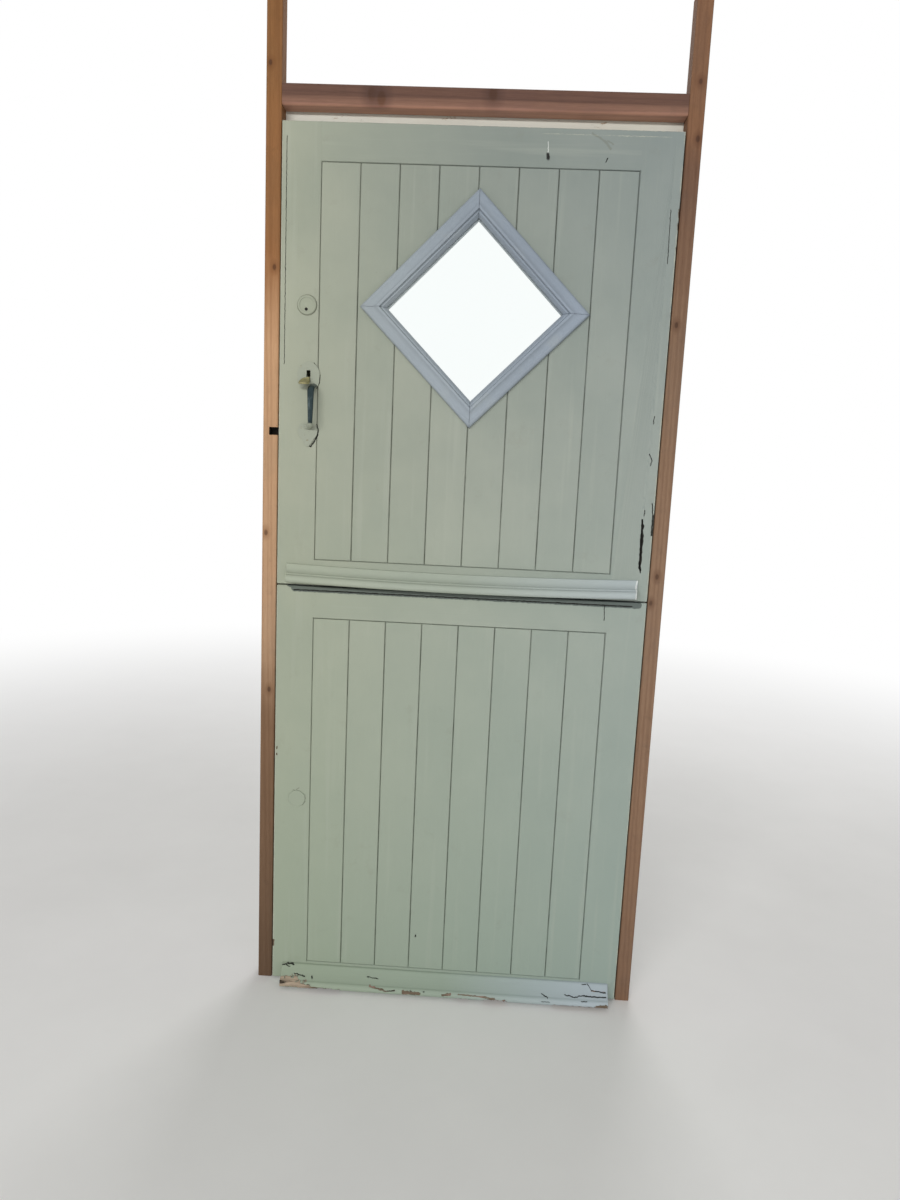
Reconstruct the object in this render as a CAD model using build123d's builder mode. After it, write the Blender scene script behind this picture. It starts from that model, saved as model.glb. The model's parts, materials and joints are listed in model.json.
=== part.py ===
# Framed stable door in two leaves, hung on the right in a plain softwood frame.
# Millimetres. X runs across the opening, Y from the weather side to the inside, Z up.
# The origin is the bottom centre of the whole door set. The leaves stand closed,
# with the latch lifted and every bolt drawn back, so each leaf is free to swing inward.

import os
from math import asin, atan2, degrees, hypot, radians, sin

from build123d import *

os.makedirs("parts", exist_ok=True)

# Door leaves, upper and lower taken together
leaf_width = 848.0
leaf_height = 1981.0
leaf_thickness = 44.0
joint_height = 988.0
joint_gap = 3.0
side_gap = 3.0
floor_gap = 5.0

# Faces of the framing as seen from the weather side
left_stile_face = 86.0
right_stile_face = 70.0
lipping_width = 18.0
top_rail_face = 80.0
upper_foot_rail_face = 59.5
lower_head_rail_face = 74.5
lower_foot_rail_face = 48.0

# Framing joints
rebate = 12.0
tenon_length = 45.0
tenon_thickness = 15.0
tenon_shoulder = 10.0
tenon_clearance = 0.2

# Matchboards
board_count = 8
board_thickness = 19.0
board_gap = 0.6
board_end_gap = 0.5
v_joint = 2.0
tongue_reach = 6.0
tongue_thickness = 5.0
tongue_clearance = 0.3

# Bracing behind the boards
brace_width = 95.0
brace_chamfer = 6.0
latch_block_width = 130.0
latch_block_height = 90.0

# Frame
post_width = 34.0
post_height = 2255.0
leaf_proud = 6.0
post_arris = 3.0
head_height = 42.0
head_above_leaf = 34.0
head_arris = 8.0
lath_thickness = 18.0
lath_height = 60.0
lath_clearance = 4.0

# Square notch for a keep, cut in the front of the left post and open towards the leaf
socket_width = 20.0
socket_height = 17.0
socket_depth = 26.0
socket_above_floor = 1339.0

# Weatherboards
bar_latch_inset = 26.0
bar_hinge_inset = 19.0
upper_bar_height = 40.0
upper_bar_reach = 40.0
upper_bar_bow = 7.0
upper_bar_lift = 1.5
lower_bar_height = 41.0
lower_bar_reach = 45.0
lower_bar_lift = 0.5
bar_nose_radius = 9.0
bar_fillet_step = 3.0
bar_top_width = 5.0
bar_cove_sag = 2.0
drip_width = 5.0
drip_depth = 4.0
drip_from_nose = 14.0

# Diamond window: half sizes are measured square to each side
window_across = 2.0
window_above_foot = 1607.0
window_sight_half = 135.0
window_lining_inner_half = 144.0
window_lining_outer_half = 155.0
window_moulding_half = 176.0
window_moulding_rise = 18.0
window_back_rise = 17.0
window_lining_depth = 30.0
moulding_edge_height = 6.3
moulding_round_inset = 2.5
moulding_round_height = 11.2
moulding_shoulder_width = 8.0
moulding_shoulder_height = 13.0
moulding_hollow_height = 12.6
moulding_crown_width = 5.0
moulding_crown_slope = 2.0
moulding_quirk_width = 3.0
moulding_quirk_height = 11.2
moulding_bead_width = 6.0
moulding_bead_foot = 3.6
back_moulding_chamfer = 6.0
back_moulding_bevel = 8.0
glass_thickness = 6.0
glass_setback = 4.0
glass_clearance = 0.5
mitre_gap = 0.3

# Butt hinges
hinge_length = 102.0
hinge_plate_width = 30.0
hinge_plate_thickness = 2.0
knuckle_radius = 5.5
knuckle_count = 5
knuckle_gap = 0.3
knuckle_standoff = 0.3
knuckle_tab_overlap = 1.0
pin_radius = 2.5
pin_clearance = 0.05
pin_head_radius = 4.0
pin_head_thickness = 2.0
upper_hinge_top_inset = 180.0
upper_hinge_foot_inset = 160.0
lower_hinge_top_inset = 160.0
lower_hinge_foot_inset = 180.0

# Rim cylinder and nightlatch
cylinder_backset = 60.0
cylinder_above_foot = 1607.0
cylinder_ring_radius = 21.0
cylinder_ring_thickness = 5.0
cylinder_ring_edge = 2.0
cylinder_ring_round = 3.0
cylinder_ring_round_sag = 1.0
cylinder_radius = 15.5
cylinder_fit = 0.1
cylinder_bore_clearance = 0.5
cylinder_face_setback = 1.0
keyway_width = 2.4
keyway_height = 8.0
keyway_depth = 3.0
keyway_drop = 2.0
case_width = 90.0
case_height = 64.0
case_depth = 27.0
case_corner = 4.0
nightlatch_bolt_length = 58.0
nightlatch_bolt_height = 28.0
nightlatch_bolt_thickness = 14.0
nightlatch_bolt_setback = 0.5
nightlatch_bolt_tip = 3.0
nightlatch_throw = 13.0
bolt_slide_clearance = 0.3
knob_reach = 20.0
knob_length = 36.0
knob_width = 12.0
knob_neck_radius = 8.0
knob_neck_length = 6.0
knob_edge_radius = 3.0
knob_spindle_radius = 4.0
knob_spindle_length = 7.0
spindle_end_gap = 1.0
knob_standoff = 0.3
spindle_clearance = 0.08
keep_width = 26.0
keep_depth = 25.0
keep_height = 60.0
keep_inset = 2.0
keep_clearance = 0.6

# Thumb latch: heights are above the leaf's foot, across is from the latch edge
latch_across = 66.0
latch_above_foot = 1456.0
latch_plate_thickness = 3.0
upper_lobe_rise = 32.0
upper_lobe_shoulder = (18.0, 22.0)
upper_lobe_widest = (24.0, -5.0)
upper_lobe_turn = (22.0, -18.0)
upper_lobe_drop = 26.0
lobe_neck = 16.0
lower_lobe_top = 104.0
lower_lobe_turn = (22.0, -118.0)
lower_lobe_waist = (16.0, -134.0)
lower_lobe_tip = (3.0, -153.0)
grip_across = 12.0
grip_head_across = 12.0
grip_foot_across = -2.0
grip_reach = 38.0
grip_half_width = 8.0
grip_half_depth = 4.5
grip_top = 20.0
grip_foot = 112.0
grip_bend = 15.0
grip_splay = 8.0
latch_slot_width = 9.0
latch_slot_height = 25.0
latch_mortise_width = 15.0
latch_mortise_height = 32.0
ear_thickness = 2.5
ear_reach = 8.0
ear_height = 9.0
lever_width = 6.0
lever_height = 6.0
lever_side_clearance = 0.4
lever_pivot_depth = 4.0
lever_pivot_drop = 4.0
lever_pin_radius = 2.0
lever_swing = 16.0
thumb_pad_width = 24.0
thumb_pad_across = -5.0
thumb_pad_reach = 40.0
thumb_pad_length = 31.0
thumb_pad_drop = 9.0
thumb_pad_thickness = 4.0
thumb_pad_root = 8.0
thumb_pad_dip = 24.0
thumb_pad_lip = -1.0
bar_pivot_across = 200.0
bar_thickness = 6.0
bar_height = 16.0
bar_over_post = 22.0
bar_eye_radius = 12.0
bar_stud_radius = 4.0
bar_stud_head_radius = 7.5
bar_stud_head_thickness = 3.0
pivot_plate_size = 38.0
pivot_plate_corner = 6.0
bar_standoff = 3.0
bar_side_play = 0.3
lever_to_bar = 0.8
staple_across = 12.0
staple_width = 18.0
staple_strap = 2.5
staple_foot = 14.0
staple_play = 1.0
keeper_across = 4.0
keeper_width = 20.0
keeper_plate = 2.5
keeper_floor_gap = 0.6
keeper_nose_rise = 12.0
keeper_nose_thickness = 4.0
keeper_nose_tip = 1.5
keeper_gusset = 6.0
keeper_head = 24.0
keeper_foot = 22.0

# Barrel bolts: a link bolt between the leaves, and one from the lower leaf to the post
rod_radius = 5.0
rod_clearance = 0.08
bolt_plate_thickness = 3.0
bolt_plate_width = 32.0
bolt_guide_width = 20.0
bolt_guide_length = 12.0
bolt_guide_margin = 2.0
rod_above_plate = 8.0
rod_knob_radius = 4.5
rod_knob_reach = 14.0
rod_keep_clearance = 0.6
link_bolt_across = 46.0
link_bolt_length = 108.0
link_bolt_throw = 22.0
link_bolt_foot = 10.0
link_keep_past_rod = 10.0
link_keep_drop = 3.0
lower_bolt_drop = 90.0
lower_bolt_length = 86.0
lower_bolt_throw = 22.0
lower_bolt_inset = 6.0
lower_keep_past_rod = 4.0
lower_keep_height = 34.0
rod_setback = 1.0
rod_end_chamfer = 1.0
rod_knob_stop_gap = 1.0
bolt_guide_round = 7.0

# Round plate over an old lock hole in the lower leaf
disc_radius = 20.0
disc_thickness = 3.0
disc_across = 55.0
disc_above_foot = 471.0

# Places worked out from the sizes above
face = (lower_bar_reach - leaf_thickness - case_depth - knob_reach) / 2
back = face + leaf_thickness
board_back = face + board_thickness
leaf_left = -leaf_width / 2
leaf_right = leaf_width / 2
lower_foot = floor_gap
lower_head = floor_gap + joint_height - joint_gap / 2
upper_foot = floor_gap + joint_height + joint_gap / 2
upper_head = floor_gap + leaf_height
field_left = leaf_left + left_stile_face
right_stile_edge = leaf_right - lipping_width
field_right = right_stile_edge - right_stile_face
board_pitch = (field_right - field_left) / board_count
post_inner = leaf_width / 2 + side_gap
post_outer = post_inner + post_width
post_front = face + leaf_proud
post_depth = back - post_front
head_foot = upper_head + head_above_leaf
hinge_axis_x = leaf_right + side_gap / 2
hinge_axis_y = back + knuckle_radius + knuckle_standoff
upper_hinge_heights = [upper_head - upper_hinge_top_inset, upper_foot + upper_hinge_foot_inset]
lower_hinge_heights = [lower_head - lower_hinge_top_inset, lower_foot + lower_hinge_foot_inset]
cylinder_x = leaf_left + cylinder_backset
cylinder_z = floor_gap + cylinder_above_foot
latch_x = leaf_left + latch_across
latch_z = floor_gap + latch_above_foot
bar_pivot_x = leaf_left + bar_pivot_across
window_x = window_across
window_z = floor_gap + window_above_foot


# Framing: stiles, rails and their mortice and tenon joints

tenon_low = board_back + (leaf_thickness - board_thickness - tenon_thickness) / 2
tenon_middle = tenon_low + tenon_thickness / 2


def tenon_span(low, high, lip_low, lip_high):
    """Foot and head of the tenon on a rail whose back runs past its face by the lips."""
    return low - lip_low + tenon_shoulder, high + lip_high - tenon_shoulder


def make_stile(outer, inner, foot, head, tenons):
    """One stile: rebated for the boards down its inner edge, and mortised for the rails."""
    inward = 1 if inner > outer else -1
    lip = inner + inward * rebate
    with BuildPart() as stile:
        with BuildSketch(Plane.XY.offset(foot)):
            with BuildLine():
                Polyline(
                    (outer, face),
                    (inner - inward * v_joint, face),
                    (inner, face + v_joint),
                    (inner, board_back),
                    (lip, board_back),
                    (lip, back),
                    (outer, back),
                    close=True,
                )
            make_face()
        extrude(amount=head - foot)
        for low, high in tenons:
            mortise_depth = tenon_length + tenon_clearance
            with Locations((lip - inward * mortise_depth / 2, tenon_middle, (low + high) / 2)):
                Box(
                    mortise_depth,
                    tenon_thickness + 2 * tenon_clearance,
                    high - low + 2 * tenon_clearance,
                    mode=Mode.SUBTRACT,
                )
    return stile


def make_rail(low, high, lip_low, lip_high):
    """One rail: an outer face between the stiles, a back behind the boards, and two tenons."""
    tenon_foot, tenon_head = tenon_span(low, high, lip_low, lip_high)
    back_low = low - lip_low
    back_high = high + lip_high
    back_layer = leaf_thickness - board_thickness
    with BuildPart() as rail:
        with BuildSketch(Plane.YZ.offset(field_left)):
            with Locations(((face + board_back) / 2, (low + high) / 2)):
                Rectangle(board_thickness, high - low)
            with Locations(((board_back + back) / 2, (back_low + back_high) / 2)):
                Rectangle(back_layer, back_high - back_low)
        extrude(amount=field_right - field_left)
        front_edges = rail.edges().filter_by(Axis.X).group_by(Axis.Y)[0].sort_by(Axis.Z)
        chamfer(front_edges[0] if lip_low else front_edges[-1], length=v_joint)
        for edge, inward in ((field_left, 1), (field_right, -1)):
            with Locations((edge + inward * rebate / 2, (board_back + back) / 2, (low + high) / 2)):
                Box(rebate, back_layer, high - low + 2 * rebate, mode=Mode.SUBTRACT)
            tenon_middle_x = edge + inward * (rebate - tenon_length / 2)
            with Locations((tenon_middle_x, tenon_middle, (tenon_foot + tenon_head) / 2)):
                Box(tenon_length, tenon_thickness, tenon_head - tenon_foot)
    return rail


upper_field_foot = upper_foot + upper_foot_rail_face
upper_field_head = upper_head - top_rail_face
lower_field_foot = lower_foot + lower_foot_rail_face
lower_field_head = lower_head - lower_head_rail_face

upper_tenons = [
    tenon_span(upper_foot, upper_field_foot, 0, rebate),
    tenon_span(upper_field_head, upper_head, rebate, 0),
]
lower_tenons = [
    tenon_span(lower_foot, lower_field_foot, 0, rebate),
    tenon_span(lower_field_head, lower_head, rebate, 0),
]

# The upper latch stile is bored for the rim cylinder and slotted for the thumb lever
with BuildPart() as upper_left_stile:
    add(make_stile(leaf_left, field_left, upper_foot, upper_head, upper_tenons).part)
    with Locations(Location((cylinder_x, face + leaf_thickness / 2, cylinder_z), (90, 0, 0))):
        Cylinder(
            cylinder_radius + cylinder_bore_clearance,
            leaf_thickness,
            mode=Mode.SUBTRACT,
        )
    with Locations((latch_x, face + leaf_thickness / 2, latch_z)):
        Box(latch_mortise_width, leaf_thickness, latch_mortise_height, mode=Mode.SUBTRACT)
upper_left_stile.part.label = "upper_left_stile"
export_step(upper_left_stile.part, "parts/upper_left_stile.step")

upper_right_stile = make_stile(right_stile_edge, field_right, upper_foot, upper_head, upper_tenons)
upper_right_stile.part.label = "upper_right_stile"
export_step(upper_right_stile.part, "parts/upper_right_stile.step")

upper_top_rail = make_rail(upper_field_head, upper_head, rebate, 0)
upper_top_rail.part.label = "upper_top_rail"
export_step(upper_top_rail.part, "parts/upper_top_rail.step")

upper_foot_rail = make_rail(upper_foot, upper_field_foot, 0, rebate)
upper_foot_rail.part.label = "upper_foot_rail"
export_step(upper_foot_rail.part, "parts/upper_foot_rail.step")

lower_left_stile = make_stile(leaf_left, field_left, lower_foot, lower_head, lower_tenons)
lower_left_stile.part.label = "lower_left_stile"
export_step(lower_left_stile.part, "parts/lower_left_stile.step")

lower_right_stile = make_stile(right_stile_edge, field_right, lower_foot, lower_head, lower_tenons)
lower_right_stile.part.label = "lower_right_stile"
export_step(lower_right_stile.part, "parts/lower_right_stile.step")

lower_head_rail = make_rail(lower_field_head, lower_head, rebate, 0)
lower_head_rail.part.label = "lower_head_rail"
export_step(lower_head_rail.part, "parts/lower_head_rail.step")

lower_foot_rail = make_rail(lower_foot, lower_field_foot, 0, rebate)
lower_foot_rail.part.label = "lower_foot_rail"
export_step(lower_foot_rail.part, "parts/lower_foot_rail.step")


# Lipping strips down the hinge edge, housed for the hinge plates

def make_lipping(foot, head, hinge_heights):
    """One lipping strip with a shallow housing for each hinge plate."""
    with BuildPart() as lipping:
        with Locations((leaf_right - lipping_width / 2, face + leaf_thickness / 2, (foot + head) / 2)):
            Box(lipping_width, leaf_thickness, head - foot)
        for height in hinge_heights:
            with Locations(
                (leaf_right - hinge_plate_thickness / 2, back - hinge_plate_width / 2, height)
            ):
                Box(hinge_plate_thickness, hinge_plate_width, hinge_length, mode=Mode.SUBTRACT)
    return lipping


upper_lipping = make_lipping(upper_foot, upper_head, upper_hinge_heights)
upper_lipping.part.label = "upper_lipping"
export_step(upper_lipping.part, "parts/upper_lipping.step")

lower_lipping = make_lipping(lower_foot, lower_head, lower_hinge_heights)
lower_lipping.part.label = "lower_lipping"
export_step(lower_lipping.part, "parts/lower_lipping.step")


# Matchboards: tongued, grooved and bevelled, and cut round the window in the upper leaf

window_plane = Plane(origin=(window_x, face, window_z), x_dir=(1, 0, 0), z_dir=(0, -1, 0))
tongue_low = face + (board_thickness - tongue_thickness) / 2
tongue_high = tongue_low + tongue_thickness


def make_board(number, foot, head):
    """One matchboard, counted from the latch side, with its tongue towards the hinges."""
    left = field_left + (number - 1) * board_pitch + board_gap / 2
    right = field_left + number * board_pitch - board_gap / 2
    groove_bottom = left + tongue_reach + tongue_clearance - board_gap
    tongue = [
        (right, tongue_low),
        (right + tongue_reach, tongue_low),
        (right + tongue_reach, tongue_high),
        (right, tongue_high),
    ]
    groove = [
        (left, tongue_high + tongue_clearance),
        (groove_bottom, tongue_high + tongue_clearance),
        (groove_bottom, tongue_low - tongue_clearance),
        (left, tongue_low - tongue_clearance),
    ]
    outline = [(left + v_joint, face), (right - v_joint, face), (right, face + v_joint)]
    outline += tongue if number < board_count else []
    outline += [(right, board_back), (left, board_back)]
    outline += groove if number > 1 else []
    outline += [(left, face + v_joint)]
    with BuildPart() as board:
        with BuildSketch(Plane.XY.offset(foot + board_end_gap)):
            with BuildLine():
                Polyline(*outline, close=True)
            make_face()
        extrude(amount=head - foot - 2 * board_end_gap)
        front_ends = board.edges().filter_by(Axis.X).group_by(Axis.Y)[0]
        chamfer(front_ends, length=v_joint / 2)
    return board


for number in range(1, board_count + 1):
    with BuildPart() as upper_board:
        add(make_board(number, upper_field_foot, upper_field_head).part)
        with BuildSketch(window_plane):
            Rectangle(2 * window_lining_outer_half, 2 * window_lining_outer_half, rotation=45)
        extrude(amount=-2 * board_thickness, both=True, mode=Mode.SUBTRACT)
    upper_board.part.label = f"upper_board_{number}"
    export_step(upper_board.part, f"parts/upper_board_{number}.step")

for number in range(1, board_count + 1):
    lower_board = make_board(number, lower_field_foot, lower_field_head)
    lower_board.part.label = f"lower_board_{number}"
    export_step(lower_board.part, f"parts/lower_board_{number}.step")


# Bracing behind the boards

back_left = field_left + rebate
back_right = field_right - rebate
back_foot = lower_field_foot + rebate
back_head = lower_field_head - rebate
back_layer_middle = (board_back + back) / 2
back_layer_depth = back - board_back
brace_run = back_right - back_left - brace_width
brace_rise = back_head - back_foot
brace_angle = degrees(atan2(brace_rise, brace_run))
brace_middle = ((back_left + back_right) / 2, back_layer_middle, (back_foot + back_head) / 2)

# The brace rises from the hinge side at the foot to the latch side at the head
with BuildPart() as lower_brace:
    with Locations(Location(brace_middle, (0, brace_angle, 0))):
        Box(2 * hypot(brace_run, brace_rise), back_layer_depth, brace_width)
    long_back_edges = lower_brace.edges().group_by(Axis.Y)[-1].sort_by(SortBy.LENGTH)[-2:]
    chamfer(long_back_edges, length=brace_chamfer)
    with Locations(brace_middle):
        Box(back_right - back_left, back_layer_depth, brace_rise, mode=Mode.INTERSECT)
lower_brace.part.label = "lower_brace"
export_step(lower_brace.part, "parts/lower_brace.step")

with BuildPart() as latch_block:
    with Locations((back_left + latch_block_width / 2, back_layer_middle, latch_z)):
        Box(latch_block_width, back_layer_depth, latch_block_height)
    chamfer(latch_block.edges().group_by(Axis.Y)[-1].group_by(Axis.X)[-1], length=brace_chamfer)
latch_block.part.label = "latch_block"
export_step(latch_block.part, "parts/latch_block.step")


# Weatherboards: a hollow top running out to a rounded nose, with a drip groove below

def bar_profile(height, reach, step):
    """Section of a weatherboard: local X is depth from the leaf's face, local Y is height."""
    nose = -(reach - bar_nose_radius)
    nose_top = 2 * bar_nose_radius
    cove_foot = nose_top + step
    cove_start = nose + step
    cove_sag = (
        (cove_start - bar_top_width) / 2 + step,
        (cove_foot + height) / 2 - 2 * step - bar_cove_sag,
    )
    drip_front = -(reach - drip_from_nose)
    Polyline(
        (-bar_top_width, height),
        (0, height),
        (0, 0),
        (drip_front + drip_width, 0),
        (drip_front + drip_width, drip_depth),
        (drip_front, drip_depth),
        (drip_front, 0),
        (nose, 0),
    )
    ThreePointArc((nose, 0), (-reach, bar_nose_radius), (nose, nose_top))
    if step:
        Polyline((nose, nose_top), (cove_start, nose_top), (cove_start, cove_foot))
    ThreePointArc((cove_start, cove_foot), cove_sag, (-bar_top_width, height))


bar_left = leaf_left + bar_latch_inset
bar_right = leaf_right - bar_hinge_inset
upper_bar_foot = upper_foot + upper_bar_lift

# The upper board has sagged in the middle, so it follows a flat arc
with BuildPart() as upper_weatherboard:
    with BuildLine() as sag:
        ThreePointArc(
            (bar_left, face, upper_bar_foot + upper_bar_bow),
            ((bar_left + bar_right) / 2, face, upper_bar_foot),
            (bar_right, face, upper_bar_foot + upper_bar_bow),
        )
    with BuildSketch(Plane(origin=sag.line @ 0, x_dir=(0, 1, 0), z_dir=sag.line % 0)):
        with BuildLine():
            bar_profile(upper_bar_height, upper_bar_reach, bar_fillet_step)
        make_face()
    sweep(path=sag.line)
upper_weatherboard.part.label = "upper_weatherboard"
export_step(upper_weatherboard.part, "parts/upper_weatherboard.step")

with BuildPart() as lower_weatherboard:
    bar_end = (bar_left, face, lower_foot + lower_bar_lift)
    with BuildSketch(Plane(origin=bar_end, x_dir=(0, 1, 0), z_dir=(1, 0, 0))):
        with BuildLine():
            bar_profile(lower_bar_height, lower_bar_reach, 0)
        make_face()
    extrude(amount=bar_right - bar_left)
lower_weatherboard.part.label = "lower_weatherboard"
export_step(lower_weatherboard.part, "parts/lower_weatherboard.step")


# Diamond window: lining, mitred mouldings on both sides and the glass between them

window_sides = [Location((window_x, 0, window_z), (0, 45 + 90 * turn, 0)) for turn in range(4)]
glass_front = face + glass_setback
glass_back = glass_front + glass_thickness
lining_back = face + window_lining_depth
moulding_front = face - window_moulding_rise
back_moulding_back = board_back + window_back_rise


def mitred_side(outline):
    """One side of a square frame about the Y axis, cut at 45 degrees to meet its neighbours."""
    half = window_moulding_half
    with BuildPart() as side:
        with BuildSketch(Plane.XY.offset(-half)):
            with BuildLine():
                outline()
            make_face()
        extrude(amount=2 * half)
        split(bisect_by=Plane(origin=(mitre_gap, 0, 0), z_dir=(1, 0, 1)), keep=Keep.TOP)
        split(bisect_by=Plane(origin=(mitre_gap, 0, 0), z_dir=(1, 0, -1)), keep=Keep.TOP)
    return side


def lining_outline():
    """Plain board that lines the hole: X is out from the window's middle."""
    Polyline(
        (window_lining_inner_half, face),
        (window_lining_outer_half, face),
        (window_lining_outer_half, lining_back),
        (window_lining_inner_half, lining_back),
        close=True,
    )


def front_outline():
    """Weather side moulding: rounded back edge, broad hollow face and a bead at the glass."""
    outer = window_moulding_half
    shoulder = outer - moulding_shoulder_width
    quirk = window_sight_half + moulding_bead_width
    crown_foot = quirk + moulding_quirk_width
    crown_inner = crown_foot + moulding_crown_slope
    crown_outer = crown_inner + moulding_crown_width
    edge_y = face - moulding_edge_height
    round_y = face - moulding_round_height
    shoulder_y = face - moulding_shoulder_height
    hollow_y = face - moulding_hollow_height
    quirk_y = face - moulding_quirk_height
    Polyline((window_lining_inner_half, face), (outer, face), (outer, edge_y))
    ThreePointArc((outer, edge_y), (outer - moulding_round_inset, round_y), (shoulder, shoulder_y))
    ThreePointArc(
        (shoulder, shoulder_y),
        ((shoulder + crown_outer) / 2, hollow_y),
        (crown_outer, moulding_front),
    )
    Polyline(
        (crown_outer, moulding_front),
        (crown_inner, moulding_front),
        (crown_foot, quirk_y),
        (quirk, quirk_y),
        (window_sight_half, face - moulding_bead_foot),
        (window_sight_half, glass_front),
        (window_lining_inner_half, glass_front),
        (window_lining_inner_half, face),
    )


def back_outline():
    """Inner moulding: it caps the lining and its lip holds the glass from behind."""
    outer = window_moulding_half
    Polyline(
        (window_lining_outer_half, board_back),
        (outer, board_back),
        (outer, back_moulding_back - back_moulding_chamfer),
        (outer - back_moulding_chamfer, back_moulding_back),
        (window_sight_half + back_moulding_bevel, back_moulding_back),
        (window_sight_half, back_moulding_back - back_moulding_bevel),
        (window_sight_half, glass_back),
        (window_lining_inner_half, glass_back),
        (window_lining_inner_half, lining_back),
        (window_lining_outer_half, lining_back),
        close=True,
    )


lining_side = mitred_side(lining_outline)
with BuildPart() as window_lining:
    with Locations(*window_sides):
        add(lining_side.part)
window_lining.part.label = "window_lining"
export_step(window_lining.part, "parts/window_lining.step")

front_side = mitred_side(front_outline)
with BuildPart() as window_moulding:
    with Locations(*window_sides):
        add(front_side.part)
window_moulding.part.label = "window_moulding"
export_step(window_moulding.part, "parts/window_moulding.step")

back_side = mitred_side(back_outline)
with BuildPart() as window_back_moulding:
    with Locations(*window_sides):
        add(back_side.part)
window_back_moulding.part.label = "window_back_moulding"
export_step(window_back_moulding.part, "parts/window_back_moulding.step")

with BuildPart() as window_glass:
    with BuildSketch(Plane(origin=(window_x, glass_back, window_z), x_dir=(1, 0, 0), z_dir=(0, -1, 0))):
        glass_side = 2 * (window_lining_inner_half - glass_clearance)
        Rectangle(glass_side, glass_side, rotation=45)
    extrude(amount=glass_thickness)
window_glass.part.label = "window_glass"
export_step(window_glass.part, "parts/window_glass.step")


# Frame: two posts, a head rail between them and a lath behind it

left_post_middle = -(post_inner + post_outer) / 2
post_middle_y = post_front + post_depth / 2

with BuildPart() as left_post:
    with Locations((left_post_middle, post_middle_y, post_height / 2)):
        Box(post_width, post_depth, post_height)
    front_arrises = left_post.edges().filter_by(Axis.Z).group_by(Axis.Y)[0]
    fillet(front_arrises, radius=post_arris)
    socket_x = -post_inner - socket_width / 2
    with Locations((socket_x, post_front + socket_depth / 2, socket_above_floor)):
        Box(socket_width, socket_depth, socket_height, mode=Mode.SUBTRACT)
left_post.part.label = "left_post"
export_step(left_post.part, "parts/left_post.step")

with BuildPart() as right_post:
    with Locations((-left_post_middle, post_middle_y, post_height / 2)):
        Box(post_width, post_depth, post_height)
    front_arrises = right_post.edges().filter_by(Axis.Z).group_by(Axis.Y)[0]
    fillet(front_arrises, radius=post_arris)
    for height in upper_hinge_heights + lower_hinge_heights:
        with Locations(
            (post_inner + hinge_plate_thickness / 2, back - hinge_plate_width / 2, height)
        ):
            Box(hinge_plate_thickness, hinge_plate_width, hinge_length, mode=Mode.SUBTRACT)
right_post.part.label = "right_post"
export_step(right_post.part, "parts/right_post.step")

with BuildPart() as head_rail:
    with Locations((0, post_middle_y, head_foot + head_height / 2)):
        Box(2 * post_inner, post_depth, head_height)
    head_arrises = head_rail.edges().filter_by(Axis.X).group_by(Axis.Y)[0].sort_by(Axis.Z)
    fillet(head_arrises[0], radius=head_arris)
    fillet(head_arrises[1], radius=post_arris)
head_rail.part.label = "head_rail"
export_step(head_rail.part, "parts/head_rail.step")

with BuildPart() as head_lath:
    with Locations((0, back + lath_thickness / 2, upper_head + lath_clearance + lath_height / 2)):
        Box(2 * post_inner + post_width, lath_thickness, lath_height)
head_lath.part.label = "head_lath"
export_step(head_lath.part, "parts/head_lath.step")


# Butt hinges: the post side has the end knuckles and holds the pins

segment = hinge_length / knuckle_count
knuckle_length = segment - knuckle_gap


def knuckle_heights(height, first):
    """Middles of every second knuckle, from the first one up."""
    foot = height - hinge_length / 2
    return [foot + (index + 0.5) * segment for index in range(first, knuckle_count, 2)]


def make_hinge_plates(hinge_heights, plate_middle, first):
    """Hinge plates with their own knuckles, bored for the pin."""
    tab_start = back - knuckle_tab_overlap
    tab_end = hinge_axis_y - knuckle_radius + hinge_plate_thickness
    with BuildPart() as plates:
        for height in hinge_heights:
            with Locations((plate_middle, back - hinge_plate_width / 2, height)):
                Box(hinge_plate_thickness, hinge_plate_width, hinge_length)
            for middle in knuckle_heights(height, first):
                with Locations((plate_middle, (tab_start + tab_end) / 2, middle)):
                    Box(hinge_plate_thickness, tab_end - tab_start, knuckle_length)
                with Locations((hinge_axis_x, hinge_axis_y, middle)):
                    Cylinder(knuckle_radius, knuckle_length)
            with Locations((hinge_axis_x, hinge_axis_y, height)):
                Cylinder(pin_radius + pin_clearance, hinge_length, mode=Mode.SUBTRACT)
    return plates


leaf_plate_middle = leaf_right - hinge_plate_thickness / 2
post_plate_middle = post_inner + hinge_plate_thickness / 2

upper_hinge_plates = make_hinge_plates(upper_hinge_heights, leaf_plate_middle, 1)
upper_hinge_plates.part.label = "upper_hinge_plates"
export_step(upper_hinge_plates.part, "parts/upper_hinge_plates.step")

lower_hinge_plates = make_hinge_plates(lower_hinge_heights, leaf_plate_middle, 1)
lower_hinge_plates.part.label = "lower_hinge_plates"
export_step(lower_hinge_plates.part, "parts/lower_hinge_plates.step")

post_hinge_plates = make_hinge_plates(upper_hinge_heights + lower_hinge_heights, post_plate_middle, 0)
post_hinge_plates.part.label = "post_hinge_plates"
export_step(post_hinge_plates.part, "parts/post_hinge_plates.step")

with BuildPart() as hinge_pins:
    for height in upper_hinge_heights + lower_hinge_heights:
        pin_head_foot = height + hinge_length / 2 - knuckle_gap / 2
        with Locations((hinge_axis_x, hinge_axis_y, height)):
            Cylinder(pin_radius, hinge_length - knuckle_gap)
        with Locations((hinge_axis_x, hinge_axis_y, pin_head_foot + pin_head_thickness / 2)):
            Cylinder(pin_head_radius, pin_head_thickness)
hinge_pins.part.label = "hinge_pins"
export_step(hinge_pins.part, "parts/hinge_pins.step")


# Rim cylinder in the weather side, with its ring

cylinder_front = face - cylinder_ring_thickness + cylinder_face_setback
ring_inner = cylinder_radius + cylinder_fit

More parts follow.
